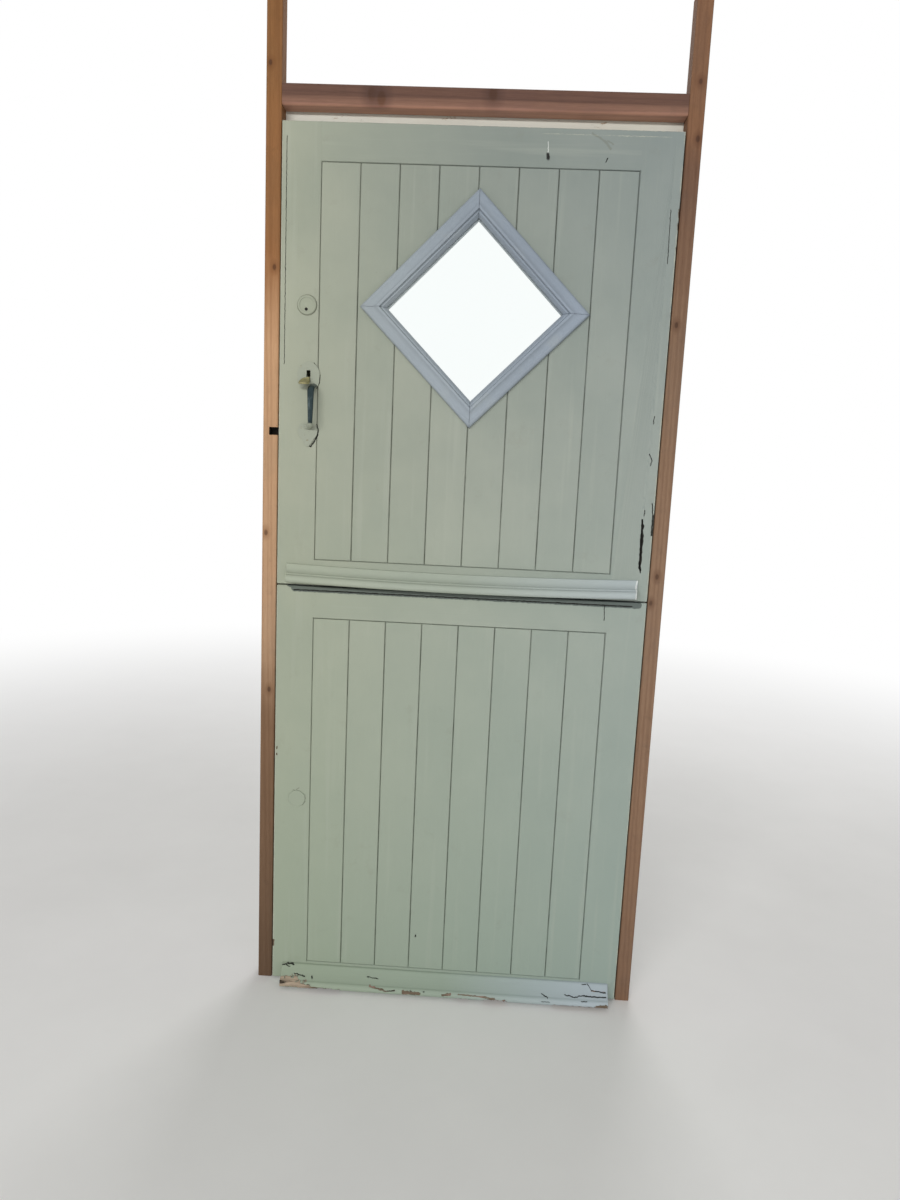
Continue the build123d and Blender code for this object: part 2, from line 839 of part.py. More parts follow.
with BuildPart() as rim_cylinder:
    with BuildSketch(Plane(origin=(cylinder_x, face, cylinder_z), x_dir=(1, 0, 0), z_dir=(0, 0, 1))):
        edge = (cylinder_ring_radius, -cylinder_ring_edge)
        crown = (cylinder_ring_radius - cylinder_ring_round, -cylinder_ring_thickness)
        sag = (
            cylinder_ring_radius - cylinder_ring_round_sag,
            -cylinder_ring_thickness + cylinder_ring_round_sag,
        )
        with BuildLine():
            Polyline((ring_inner, 0), (cylinder_ring_radius, 0), edge)
            ThreePointArc(edge, sag, crown)
            Polyline(crown, (ring_inner, -cylinder_ring_thickness), (ring_inner, 0))
        make_face()
    revolve(axis=Axis((cylinder_x, face, cylinder_z), (0, 1, 0)))
    with Locations(Location((cylinder_x, (cylinder_front + back) / 2, cylinder_z), (90, 0, 0))):
        Cylinder(cylinder_radius, back - cylinder_front)
    with Locations((cylinder_x, cylinder_front + keyway_depth / 2, cylinder_z - keyway_drop)):
        Box(keyway_width, keyway_depth, keyway_height, mode=Mode.SUBTRACT)
rim_cylinder.part.label = "rim_cylinder"
export_step(rim_cylinder.part, "parts/rim_cylinder.step")


# Nightlatch on the inside: case, sliding bolt, turning knob and the keep on the post

case_back = back + case_depth
bolt_middle_y = back + case_depth / 2
bolt_tip = leaf_left + nightlatch_bolt_setback
channel_depth = nightlatch_bolt_setback + nightlatch_bolt_length + bolt_slide_clearance
knob_x = leaf_left + cylinder_backset

with BuildPart() as nightlatch_case:
    with Locations((leaf_left + case_width / 2, back + case_depth / 2, cylinder_z)):
        Box(case_width, case_depth, case_height)
    fillet(nightlatch_case.edges().group_by(Axis.Y)[-1], radius=case_corner)
    with Locations((leaf_left + channel_depth / 2, bolt_middle_y, cylinder_z)):
        Box(
            channel_depth,
            nightlatch_bolt_thickness + 2 * bolt_slide_clearance,
            nightlatch_bolt_height + 2 * bolt_slide_clearance,
            mode=Mode.SUBTRACT,
        )
    with Locations(Location((knob_x, case_back - knob_spindle_length / 2, cylinder_z), (90, 0, 0))):
        Cylinder(knob_spindle_radius + spindle_clearance, knob_spindle_length, mode=Mode.SUBTRACT)
nightlatch_case.part.label = "nightlatch_case"
export_step(nightlatch_case.part, "parts/nightlatch_case.step")

with BuildPart() as nightlatch_bolt:
    with Locations((bolt_tip + nightlatch_bolt_length / 2, bolt_middle_y, cylinder_z)):
        Box(nightlatch_bolt_length, nightlatch_bolt_thickness, nightlatch_bolt_height)
    nose_edge = nightlatch_bolt.edges().filter_by(Axis.Z).group_by(Axis.X)[0].sort_by(Axis.Y)[0]
    chamfer(nose_edge, length=nightlatch_bolt_thickness - nightlatch_bolt_tip)
nightlatch_bolt.part.label = "nightlatch_bolt"
export_step(nightlatch_bolt.part, "parts/nightlatch_bolt.step")

knob_front = case_back + knob_standoff
knob_end = case_back + knob_reach

with BuildPart() as nightlatch_knob:
    with BuildSketch(Plane(origin=(knob_x, knob_end, cylinder_z), x_dir=(1, 0, 0), z_dir=(0, -1, 0))):
        SlotOverall(knob_length, knob_width, rotation=90)
    extrude(amount=knob_end - knob_front - knob_neck_length)
    fillet(nightlatch_knob.edges().group_by(Axis.Y)[-1], radius=knob_edge_radius)
    with Locations(Location((knob_x, knob_front + knob_neck_length / 2, cylinder_z), (90, 0, 0))):
        Cylinder(knob_neck_radius, knob_neck_length)
    spindle_foot = case_back - knob_spindle_length + spindle_end_gap
    with Locations(Location((knob_x, (spindle_foot + knob_front) / 2, cylinder_z), (90, 0, 0))):
        Cylinder(knob_spindle_radius, knob_front - spindle_foot)
nightlatch_knob.part.label = "nightlatch_knob"
export_step(nightlatch_knob.part, "parts/nightlatch_knob.step")

keep_right = -post_inner - keep_inset
pocket_depth = nightlatch_throw
with BuildPart() as nightlatch_keep:
    with Locations((keep_right - keep_width / 2, back + keep_depth / 2, cylinder_z)):
        Box(keep_width, keep_depth, keep_height)
    fillet(nightlatch_keep.edges().group_by(Axis.Y)[-1].group_by(Axis.X)[0], radius=case_corner)
    with Locations((keep_right - pocket_depth / 2, bolt_middle_y, cylinder_z)):
        Box(
            pocket_depth,
            nightlatch_bolt_thickness + 2 * keep_clearance,
            nightlatch_bolt_height + 2 * keep_clearance,
            mode=Mode.SUBTRACT,
        )
nightlatch_keep.part.label = "nightlatch_keep"
export_step(nightlatch_keep.part, "parts/nightlatch_keep.step")


# Thumb latch handle: two lobed plates joined by a bowed grip, with ears for the lever's pin

lobe_plane = Plane(origin=(latch_x, face, latch_z), x_dir=(1, 0, 0), z_dir=(0, -1, 0))
pivot_y = face + lever_pivot_depth
pivot_z = latch_z - lever_pivot_drop
ear_inner = lever_width / 2 + lever_side_clearance
ear_middle = ear_inner + ear_thickness / 2
lever_pin_length = 2 * (ear_inner + ear_thickness)

with BuildPart() as pull_handle:
    with BuildSketch(lobe_plane):
        with BuildLine():
            ThreePointArc((0, upper_lobe_rise), upper_lobe_shoulder, upper_lobe_widest)
            ThreePointArc(upper_lobe_widest, upper_lobe_turn, (lobe_neck, -upper_lobe_drop))
            Line((lobe_neck, -upper_lobe_drop), (0, -upper_lobe_drop))
            mirror(about=Plane.YZ)
        make_face()
        with BuildLine():
            Line((0, -lower_lobe_top), (lobe_neck, -lower_lobe_top))
            ThreePointArc((lobe_neck, -lower_lobe_top), lower_lobe_turn, lower_lobe_waist)
            Polyline(lower_lobe_waist, lower_lobe_tip, (0, lower_lobe_tip[1]))
            mirror(about=Plane.YZ)
        make_face()
        Rectangle(latch_slot_width, latch_slot_height, mode=Mode.SUBTRACT)
    extrude(amount=latch_plate_thickness)
    grip_x = latch_x + grip_across
    grip_head_x = latch_x + grip_head_across
    grip_foot_x = latch_x + grip_foot_across
    grip_root = face - latch_plate_thickness / 2
    grip_y = face - grip_reach + grip_half_depth
    with BuildLine() as bow:
        FilletPolyline(
            (grip_head_x, grip_root, latch_z - grip_top),
            (grip_x, grip_y, latch_z - grip_top - grip_splay),
            (grip_x, grip_y, latch_z - grip_foot + grip_splay),
            (grip_foot_x, grip_root, latch_z - grip_foot),
            radius=grip_bend,
        )
    with BuildSketch(Plane(origin=bow.line @ 0, x_dir=(1, 0, 0), z_dir=bow.line % 0)):
        Ellipse(grip_half_width, grip_half_depth)
    sweep(path=bow.line)
    split(bisect_by=Plane(origin=(0, face, 0), z_dir=(0, -1, 0)), keep=Keep.TOP)
    with Locations(
        (latch_x - ear_middle, face + ear_reach / 2, pivot_z),
        (latch_x + ear_middle, face + ear_reach / 2, pivot_z),
    ):
        Box(ear_thickness, ear_reach, ear_height)
    with Locations(Location((latch_x, pivot_y, pivot_z), (0, 90, 0))):
        Cylinder(lever_pin_radius + pin_clearance, lever_pin_length, mode=Mode.SUBTRACT)
pull_handle.part.label = "pull_handle"
export_step(pull_handle.part, "parts/pull_handle.step")

# The lever is drawn level, then tipped to its pressed place, which lifts the bar
lever_end = back + bar_standoff + bar_thickness
pad_end = face - thumb_pad_reach
pad_middle = pad_end + thumb_pad_length / 2
lever_tip = lever_swing / 2

lever_foot = pivot_z - lever_height / 2
lever_head = pivot_z + lever_height / 2
pad_head = lever_head - thumb_pad_drop
pad_root = face - thumb_pad_root
pad_dip = face - thumb_pad_dip
pad_lip = pad_head + thumb_pad_lip
pad_x = latch_x + thumb_pad_across

with BuildPart() as level_lever:
    with BuildSketch(Plane.YZ.offset(pad_x - thumb_pad_width / 2)):
        with BuildLine():
            Polyline(
                (pad_root, lever_foot),
                (lever_end, lever_foot),
                (lever_end, lever_head),
                (pad_root, lever_head),
            )
            ThreePointArc((pad_root, lever_head), (pad_dip, pad_head), (pad_end, pad_lip))
            Line((pad_end, pad_lip), (pad_end, pad_lip - thumb_pad_thickness))
            ThreePointArc(
                (pad_end, pad_lip - thumb_pad_thickness),
                (pad_dip, pad_head - thumb_pad_thickness),
                (pad_root, lever_foot),
            )
        make_face()
    extrude(amount=thumb_pad_width)
    with BuildSketch(Plane.XY.offset(pivot_z - thumb_pad_reach)):
        with Locations((latch_x, (pad_middle + lever_end) / 2)):
            Rectangle(lever_width, lever_end - pad_middle)
        with Locations((pad_x, pad_middle)):
            Ellipse(thumb_pad_width / 2, thumb_pad_length / 2)
    extrude(amount=2 * thumb_pad_reach, mode=Mode.INTERSECT)
    with Locations(Location((latch_x, pivot_y, pivot_z), (0, 90, 0))):
        Cylinder(lever_pin_radius, lever_pin_length)

with BuildPart() as thumb_lever:
    tipped = Location((0, pivot_y, pivot_z)) * Location((0, 0, 0), (lever_tip, 0, 0))
    with Locations(tipped * Location((0, -pivot_y, -pivot_z))):
        add(level_lever.part)
thumb_lever.part.label = "thumb_lever"
export_step(thumb_lever.part, "parts/thumb_lever.step")


# Latch bar on the inside, lifted clear of its keeper

bar_front = back + bar_standoff
bar_back = bar_front + bar_thickness
bar_middle_y = (bar_front + bar_back) / 2
lever_arm = lever_end - pivot_y
lever_rise = 2 * lever_arm * sin(radians(lever_swing / 2))
bar_arm = bar_pivot_x - latch_x
bar_swing = degrees(asin(lever_rise / bar_arm))
dropped_bar_foot = -lever_pivot_drop + lever_height / 2 - lever_rise / 2 + lever_to_bar
bar_pivot_z = latch_z + dropped_bar_foot + bar_height / 2
bar_tip = -post_inner - bar_over_post
bar_length = bar_pivot_x - bar_tip

bar_plane = Plane(origin=(bar_pivot_x, bar_back, bar_pivot_z), x_dir=(1, 0, 0), z_dir=(0, -1, 0))

with BuildPart() as level_bar:
    with BuildSketch(bar_plane):
        with Locations((-bar_length / 2, 0)):
            RectangleRounded(bar_length, bar_height, bar_height / 4)
        Circle(bar_eye_radius)
        Circle(bar_stud_radius + pin_clearance, mode=Mode.SUBTRACT)
    extrude(amount=bar_thickness)

with BuildPart() as latch_bar:
    lifted = Location((bar_pivot_x, 0, bar_pivot_z)) * Location((0, 0, 0), (0, bar_swing, 0))
    with Locations(lifted * Location((-bar_pivot_x, 0, -bar_pivot_z))):
        add(level_bar.part)
latch_bar.part.label = "latch_bar"
export_step(latch_bar.part, "parts/latch_bar.step")

with BuildPart() as latch_pivot_plate:
    with BuildSketch(Plane(origin=(bar_pivot_x, back, bar_pivot_z), x_dir=(-1, 0, 0), z_dir=(0, 1, 0))):
        RectangleRounded(pivot_plate_size, pivot_plate_size, pivot_plate_corner)
    extrude(amount=bar_standoff - bar_side_play)
    stud_end = bar_back + bar_side_play
    with Locations(Location((bar_pivot_x, (back + stud_end) / 2, bar_pivot_z), (90, 0, 0))):
        Cylinder(bar_stud_radius, stud_end - back)
    head_middle = stud_end + bar_stud_head_thickness / 2
    with Locations(Location((bar_pivot_x, head_middle, bar_pivot_z), (90, 0, 0))):
        Cylinder(bar_stud_head_radius, bar_stud_head_thickness)
latch_pivot_plate.part.label = "latch_pivot_plate"
export_step(latch_pivot_plate.part, "parts/latch_pivot_plate.step")

# The staple keeps the bar against the leaf and stops it at both ends of its travel
staple_x = leaf_left + staple_across
staple_low = bar_pivot_z - bar_height / 2 - keeper_floor_gap
staple_rise = (bar_pivot_x - staple_x) * sin(radians(bar_swing))
staple_high = bar_pivot_z + bar_height / 2 + staple_rise + staple_play
staple_inner = bar_back + staple_play

with BuildPart() as latch_staple:
    with BuildSketch(Plane.YZ.offset(staple_x)):
        with BuildLine():
            Polyline(
                (back, staple_low - staple_foot),
                (back + staple_strap, staple_low - staple_foot),
                (back + staple_strap, staple_low - staple_strap),
                (staple_inner + staple_strap, staple_low - staple_strap),
                (staple_inner + staple_strap, staple_high + staple_strap),
                (back + staple_strap, staple_high + staple_strap),
                (back + staple_strap, staple_high + staple_foot),
                (back, staple_high + staple_foot),
                (back, staple_high),
                (staple_inner, staple_high),
                (staple_inner, staple_low),
                (back, staple_low),
                close=True,
            )
        make_face()
    extrude(amount=staple_width)
latch_staple.part.label = "latch_staple"
export_step(latch_staple.part, "parts/latch_staple.step")

# The keeper's hook stands behind the bar, with a ramp that lifts the bar as the leaf closes
keeper_floor = bar_pivot_z - bar_height / 2 - keeper_floor_gap
nose_front = bar_back + staple_play
nose_back = nose_front + keeper_nose_thickness
keeper_right = -post_inner - keeper_across

with BuildPart() as latch_keeper:
    with BuildSketch(Plane.YZ.offset(keeper_right - keeper_width)):
        with BuildLine():
            Polyline(
                (back, keeper_floor - keeper_foot),
                (back + keeper_plate, keeper_floor - keeper_foot),
                (nose_back, keeper_floor - keeper_gusset),
                (nose_back, keeper_floor),
                (nose_front + keeper_nose_tip, keeper_floor + keeper_nose_rise),
                (nose_front, keeper_floor + keeper_nose_rise),
                (nose_front, keeper_floor),
                (back + keeper_plate, keeper_floor),
                (back + keeper_plate, keeper_floor + bar_height + keeper_head),
                (back, keeper_floor + bar_height + keeper_head),
                close=True,
            )
        make_face()
    extrude(amount=keeper_width)
latch_keeper.part.label = "latch_keeper"
export_step(latch_keeper.part, "parts/latch_keeper.step")


# Barrel bolts, each built about its own rod: local Z runs along the throw

rod_y = back + bolt_plate_thickness + rod_above_plate


def make_bolt_case(length):
    """Back plate with two bored guides: it starts at local Z 0, its rod lies along local Z."""
    guide_depth = rod_above_plate + rod_radius + bolt_guide_margin
    with BuildPart() as case:
        with Locations((0, bolt_plate_thickness / 2, length / 2)):
            Box(bolt_plate_width, bolt_plate_thickness, length)
        for middle in (bolt_guide_length / 2, length - bolt_guide_length / 2):
            with Locations((0, bolt_plate_thickness + guide_depth / 2, middle)):
                Box(bolt_guide_width, guide_depth, bolt_guide_length)
        round_edges = case.edges().filter_by(Axis.Z).group_by(Axis.Y)[-1]
        fillet(round_edges, radius=bolt_guide_round)
        with Locations((0, bolt_plate_thickness + rod_above_plate, length / 2)):
            Cylinder(rod_radius + rod_clearance, length, mode=Mode.SUBTRACT)
    return case


def make_rod(length, knob_height, overhang):
    """Rod with its knob, drawn back: the throwing end stands out of the case by the overhang."""
    with BuildPart() as rod:
        with Locations((0, bolt_plate_thickness + rod_above_plate, (length - overhang) / 2)):
            Cylinder(rod_radius, length + overhang)
        chamfer(rod.edges().group_by(Axis.Z)[0], length=rod_end_chamfer)
        knob_middle = bolt_plate_thickness + rod_above_plate + rod_knob_reach / 2
        with Locations(Location((0, knob_middle, knob_height), (90, 0, 0))):
            Cylinder(rod_knob_radius, rod_knob_reach)
    return rod


link_bolt_x = leaf_left + link_bolt_across
link_case_foot = upper_foot + link_bolt_foot
link_knob = link_bolt_length - bolt_guide_length - rod_knob_radius - rod_knob_stop_gap
link_place = Location((link_bolt_x, back, link_case_foot))

link_case_shape = make_bolt_case(link_bolt_length)
with BuildPart() as link_bolt_case:
    with Locations(link_place):
        add(link_case_shape.part)
link_bolt_case.part.label = "link_bolt_case"
export_step(link_bolt_case.part, "parts/link_bolt_case.step")

link_rod_shape = make_rod(link_bolt_length, link_knob, link_bolt_foot - rod_setback)
with BuildPart() as link_bolt_rod:
    with Locations(link_place):
        add(link_rod_shape.part)
link_bolt_rod.part.label = "link_bolt_rod"
export_step(link_bolt_rod.part, "parts/link_bolt_rod.step")

keep_plate_depth = rod_above_plate + rod_radius + bolt_guide_margin + bolt_plate_thickness
link_keep_height = link_bolt_throw + link_keep_past_rod
link_keep_middle = lower_head - link_keep_drop - link_keep_height / 2
with BuildPart() as link_keep:
    with Locations((link_bolt_x, back + keep_plate_depth / 2, link_keep_middle)):
        Box(bolt_guide_width, keep_plate_depth, link_keep_height)
    fillet(link_keep.edges().filter_by(Axis.Z).group_by(Axis.Y)[-1], radius=bolt_guide_round)
    with Locations((link_bolt_x, back + bolt_plate_thickness / 2, link_keep_middle)):
        Box(bolt_plate_width, bolt_plate_thickness, link_keep_height)
    with Locations((link_bolt_x, rod_y, link_keep_middle)):
        Cylinder(rod_radius + rod_keep_clearance, link_keep_height, mode=Mode.SUBTRACT)
link_keep.part.label = "link_keep"
export_step(link_keep.part, "parts/link_keep.step")

lower_bolt_z = lower_head - lower_bolt_drop
lower_bolt_place = Location((leaf_left + lower_bolt_inset, back, lower_bolt_z), (0, 90, 0))
lower_knob = lower_bolt_length - bolt_guide_length - rod_knob_radius - rod_knob_stop_gap

lower_case_shape = make_bolt_case(lower_bolt_length)
with BuildPart() as lower_bolt_case:
    with Locations(lower_bolt_place):
        add(lower_case_shape.part)
lower_bolt_case.part.label = "lower_bolt_case"
export_step(lower_bolt_case.part, "parts/lower_bolt_case.step")

lower_rod_shape = make_rod(lower_bolt_length, lower_knob, lower_bolt_inset - rod_setback)
with BuildPart() as lower_bolt_rod:
    with Locations(lower_bolt_place):
        add(lower_rod_shape.part)
lower_bolt_rod.part.label = "lower_bolt_rod"
export_step(lower_bolt_rod.part, "parts/lower_bolt_rod.step")

with BuildPart() as lower_bolt_keep:
    lower_keep_width = lower_bolt_throw + lower_keep_past_rod
    lower_keep_middle = keep_right - lower_keep_width / 2
    with Locations((lower_keep_middle, back + keep_plate_depth / 2, lower_bolt_z)):
        Box(lower_keep_width, keep_plate_depth, bolt_guide_width)
    fillet(lower_bolt_keep.edges().filter_by(Axis.X).group_by(Axis.Y)[-1], radius=bolt_guide_round)
    with Locations((lower_keep_middle, back + bolt_plate_thickness / 2, lower_bolt_z)):
        Box(lower_keep_width, bolt_plate_thickness, lower_keep_height)
    with Locations(Location((lower_keep_middle, rod_y, lower_bolt_z), (0, 90, 0))):
        Cylinder(rod_radius + rod_keep_clearance, lower_keep_width, mode=Mode.SUBTRACT)
lower_bolt_keep.part.label = "lower_bolt_keep"
export_step(lower_bolt_keep.part, "parts/lower_bolt_keep.step")


# Round plate over the old lock hole

with BuildPart() as blanking_disc:
    disc_place = (leaf_left + disc_across, face - disc_thickness / 2, floor_gap + disc_above_foot)
    with Locations(Location(disc_place, (90, 0, 0))):
        Cylinder(disc_radius, disc_thickness)
    fillet(blanking_disc.edges().group_by(Axis.Y)[0], radius=disc_thickness / 2)
blanking_disc.part.label = "blanking_disc"
export_step(blanking_disc.part, "parts/blanking_disc.step")
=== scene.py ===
"""Looks of a framed stable door in two leaves: paint, pine, glass and worn ironmongery.

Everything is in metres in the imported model's own frame: X runs across the opening, Y from the
weather side to the inside, Z up. Sizes written with MM are the maker's millimetres.
"""

import json
import logging
import math
import random
from collections.abc import Iterable
from dataclasses import dataclass
from enum import Enum

import bmesh
import bpy
from mathutils import Matrix, Vector, noise

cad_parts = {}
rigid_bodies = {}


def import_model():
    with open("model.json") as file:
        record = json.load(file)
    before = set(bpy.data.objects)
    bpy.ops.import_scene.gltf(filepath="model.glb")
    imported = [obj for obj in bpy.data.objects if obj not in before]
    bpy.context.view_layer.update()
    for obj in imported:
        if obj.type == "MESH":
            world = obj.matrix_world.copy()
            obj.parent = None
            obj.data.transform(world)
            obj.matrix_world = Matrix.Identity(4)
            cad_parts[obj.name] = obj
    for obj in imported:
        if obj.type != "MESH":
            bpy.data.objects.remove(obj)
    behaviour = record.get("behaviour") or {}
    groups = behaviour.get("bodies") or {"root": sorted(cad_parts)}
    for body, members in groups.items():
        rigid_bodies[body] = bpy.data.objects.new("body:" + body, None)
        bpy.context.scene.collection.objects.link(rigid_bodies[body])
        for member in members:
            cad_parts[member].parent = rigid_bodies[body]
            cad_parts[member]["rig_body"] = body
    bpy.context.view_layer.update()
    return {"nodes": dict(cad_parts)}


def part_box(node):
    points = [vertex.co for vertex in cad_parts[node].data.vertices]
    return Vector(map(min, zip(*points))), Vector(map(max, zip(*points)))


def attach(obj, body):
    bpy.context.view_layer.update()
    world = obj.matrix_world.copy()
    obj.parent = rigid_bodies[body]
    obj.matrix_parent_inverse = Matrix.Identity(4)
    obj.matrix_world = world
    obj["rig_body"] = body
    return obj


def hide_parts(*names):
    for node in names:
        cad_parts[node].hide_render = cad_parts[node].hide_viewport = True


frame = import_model()

MM = 0.001

log = logging.getLogger("stable_door")

Colour = tuple[float, float, float]
Point2 = tuple[float, float]
Point3 = tuple[float, float, float]
Socket = bpy.types.NodeSocket
Ring = list[bmesh.types.BMVert]


class Grain(Enum):
    """Way that the grain and the brush ran: the value stretches the texture along that axis."""

    UP = (1.0, 1.0, 0.04)
    ACROSS = (0.04, 1.0, 1.0)
    SLOPING = (0.35, 1.0, 0.25)


class Wear(Enum):
    """Kinds of mark that the paint can show: damage and dirt, pale lines and painted shade."""

    CRACK = "crack"
    CHIP = "chip"
    SMEAR = "smear"
    SCRATCH = "scratch"
    GRIME = "grime"
    RUB = "rub"


@dataclass(frozen=True)
class Mark:
    """A stroke on the leaves' face, wear or painted shade, in mm from the leaf's latch edge and
    foot.
    """

    kind: Wear
    start: Point2
    end: Point2
    width: float


def strokes(kind: Wear, *lines: tuple[float, float, float, float, float]) -> tuple[Mark, ...]:
    """Marks of one kind, each from its start and end in mm and its width in mm."""
    return tuple(Mark(kind, line[:2], line[2:4], line[4]) for line in lines)


# Wear and marks seen on the weather side, with painted shade below the upper weatherboard
FACE_MARKS = (
    *strokes(Wear.CRACK,
            (826, 1196, 827, 1188, 0.9), (831, 1400, 830, 1385, 1.1), (827, 1319, 833, 1305, 1.2),
            (833, 1305, 831, 1294, 1.0), (830, 1826, 832, 1719, 0.8), (753, 977, 755, 942, 0.9),
            (11, 1950, 11, 1480, 0.7), (565, 1929, 566, 1921, 4.0), (690, 1924, 687, 1917, 1.2),
            (842, 1211, 845, 1184, 1.4), (846, 1184, 846, 1141, 2.6), (826, 1183, 827, 1195, 1.0),
            # Painted shade: the dark gap line within the upper weatherboard's shadow
            (40, 977, 815, 977, 1.5)),
    *strokes(Wear.SMEAR,
            (46, 492, 50, 489, 1.4), (53, 493, 60, 497, 1.6), (57, 490, 61, 486, 1.4),
            (74, 482, 76, 470, 1.2), (75, 464, 68, 454, 1.4)),
    *strokes(Wear.CRACK,
            (354, 136, 354, 132, 1.6), (78, 1485, 87, 1472, 0.9), (87, 1472, 91, 1457, 1.4),
            (91, 1457, 90, 1443, 1.4), (90, 1443, 84, 1431, 1.3), (86, 1352, 90, 1338, 1.3),
            (90, 1338, 88.5, 1330, 1.8), (88.5, 1330, 82.5, 1316.5, 2.0),
            (82.5, 1316.5, 73, 1303, 1.8), (73, 1303, 65.5, 1305.5, 1.6)),
    *strokes(Wear.CHIP,
            (847, 1828, 848, 1812, 2.2), (847, 1800, 848, 1788, 2.0), (848, 1752, 849, 1740, 2.0),
            (2, 98, 1, 84, 3.5), (5, 598, 5, 592, 2.0), (5, 580, 5, 577, 2.2)),
    *strokes(Wear.SCRATCH,
            (565, 1928, 564, 1954, 0.9)),
    *strokes(Wear.SMEAR,
            (655, 1972, 671, 1964, 2.5), (671, 1964, 684, 1956, 3.0), (684, 1956, 695, 1943, 3.5),
            (688, 1958, 700, 1952, 2.0)),
    # Painted shadow: the dark band that the upper weatherboard casts on the lower leaf
    *strokes(Wear.GRIME,
            (28, 986, 44, 983, 4.0), (42, 981, 829, 981, 10.5)),
    # Pale broken lines painted along the leaves' edges and the top rail
    *strokes(Wear.RUB,
            (0, 4, 0, 1980, 2.6), (848, 4, 848, 1980, 3.2), (4, 1981, 844, 1981, 1.6),
            (540, 1969, 820, 1969, 0.9)),
)


# Node graphs of the finishes


class Graph:
    """Node tree of one procedural material, with short calls for the nodes that it needs."""

    def __init__(self, name: str) -> None:
        """Starts a material with its shader, its output and the piece's own coordinates.

        Args:
            name: the material's name.
        """
        self.material = bpy.data.materials.new(name)
        self.material.use_nodes = True
        self.tree = self.material.node_tree
        self.tree.nodes.clear()
        self.shader = self.node("ShaderNodeBsdfPrincipled")
        output = self.node("ShaderNodeOutputMaterial")
        self.link(self.shader.outputs["BSDF"], output.inputs["Surface"])
        self.place = self.node("ShaderNodeTexCoord").outputs["Object"]
        self.tone = self.attribute("tone")
        shift = self.vector("MULTIPLY", self.combine(self.tone), (37.0, 19.0, 53.0))
        self.own_place = self.vector("ADD", self.place, shift)

    def node(self, kind: str, **settings: object) -> bpy.types.Node:
        """Adds one node.

        Args:
            kind: the node's type.
            settings: its properties by name.

        Returns:
            The node.
        """
        made = self.tree.nodes.new(kind)
        for key, value in settings.items():
            setattr(made, key, value)
        return made

    def link(self, source: Socket, target: Socket) -> None:
        """Joins an output to an input."""
        self.tree.links.new(source, target)

    def feed(self, socket: Socket, value: object) -> None:
        """Puts a value or another node's output into an input.

        Args:
            socket: the input.
            value: an output socket, a number or a tuple.
        """
        if isinstance(value, Socket):
            self.link(value, socket)
        elif hasattr(socket.default_value, "__len__") and len(socket.default_value) == 4:
            socket.default_value = (*value, 1.0) if len(value) == 3 else value
        else:
            socket.default_value = value

    def attribute(self, name: str) -> Socket:
        """Reads a named number from the mesh."""
        return self.node("ShaderNodeAttribute", attribute_name=name).outputs["Fac"]

    def combine(self, value: Socket) -> Socket:
        """Makes a vector with the same number three times.

        Args:
            value: the number.

        Returns:
            The vector.
        """
        made = self.node("ShaderNodeCombineXYZ")
        for axis in ("X", "Y", "Z"):
            self.link(value, made.inputs[axis])
        return made.outputs["Vector"]

    def axis(self, letter: str) -> Socket:
        """Reads one coordinate of the shading point.

        Args:
            letter: X, Y or Z.

        Returns:
            The coordinate in metres.
        """
        split = self.node("ShaderNodeSeparateXYZ")
        self.link(self.place, split.inputs["Vector"])
        return split.outputs[letter]

    def vector(self, operation: str, first: object, second: object = None) -> Socket:
        """Does one step of vector arithmetic.

        Args:
            operation: the step's name.
            first: an output socket or a tuple.
            second: the same, where the step has two inputs.

        Returns:
            A number for a length, a distance or a dot product, and otherwise a vector.
        """
        made = self.node("ShaderNodeVectorMath", operation=operation)
        self.feed(made.inputs[0], first)
        if second is not None:
            self.feed(made.inputs[1], second)
        numbers = ("LENGTH", "DOT_PRODUCT", "DISTANCE")
        return made.outputs["Value" if operation in numbers else "Vector"]

    def math(self, operation: str, first: object, second: object = None) -> Socket:
        """Does one step of arithmetic.

        Args:
            operation: the step's name.
            first: an output socket or a number.
            second: the same, where the step has two inputs.

        Returns:
            The number.
        """
        made = self.node("ShaderNodeMath", operation=operation)
        self.feed(made.inputs[0], first)
        if second is not None:
            self.feed(made.inputs[1], second)
        return made.outputs["Value"]

    def noise(self, scale: float, stretch: Point3 = (1, 1, 1), detail: float = 3.0,
              roughness: float = 0.5, distortion: float = 0.0, shared: bool = False
              ) -> Socket:
        """Noise in the piece's own coordinates.

        Args:
            scale: features to the metre.
            stretch: factor on each axis before the noise is read.
            detail: octaves.
            roughness: weight of the finer octaves.
            distortion: warp.
            shared: read the same field on every piece.

        Returns:
            The noise's number, about 0.5 on average.
        """
        place = self.vector("MULTIPLY", self.place if shared else self.own_place, stretch)
        made = self.node("ShaderNodeTexNoise")
        self.link(place, made.inputs["Vector"])
        for key, value in (("Scale", scale), ("Detail", detail), ("Roughness", roughness),
                           ("Distortion", distortion)):
            made.inputs[key].default_value = value
        return made.outputs["Fac"]

    def span(self, value: object, low: float, high: float, to_low: float = 0.0,
             to_high: float = 1.0, smooth: bool = False) -> Socket:
        """Maps a range of a number onto another, held at both ends.

        Args:
            value: the number.
            low: where the first range starts.
            high: where it ends.
            to_low: the result at its start.
            to_high: the result at its end.
            smooth: ease in and out of both ends.

        Returns:
            The mapped number.
        """
        made = self.node("ShaderNodeMapRange")
        made.interpolation_type = "SMOOTHSTEP" if smooth else "LINEAR"
        self.feed(made.inputs["Value"], value)
        for key, number in (("From Min", low), ("From Max", high), ("To Min", to_low),
                            ("To Max", to_high)):
            made.inputs[key].default_value = number
        return made.outputs["Result"]

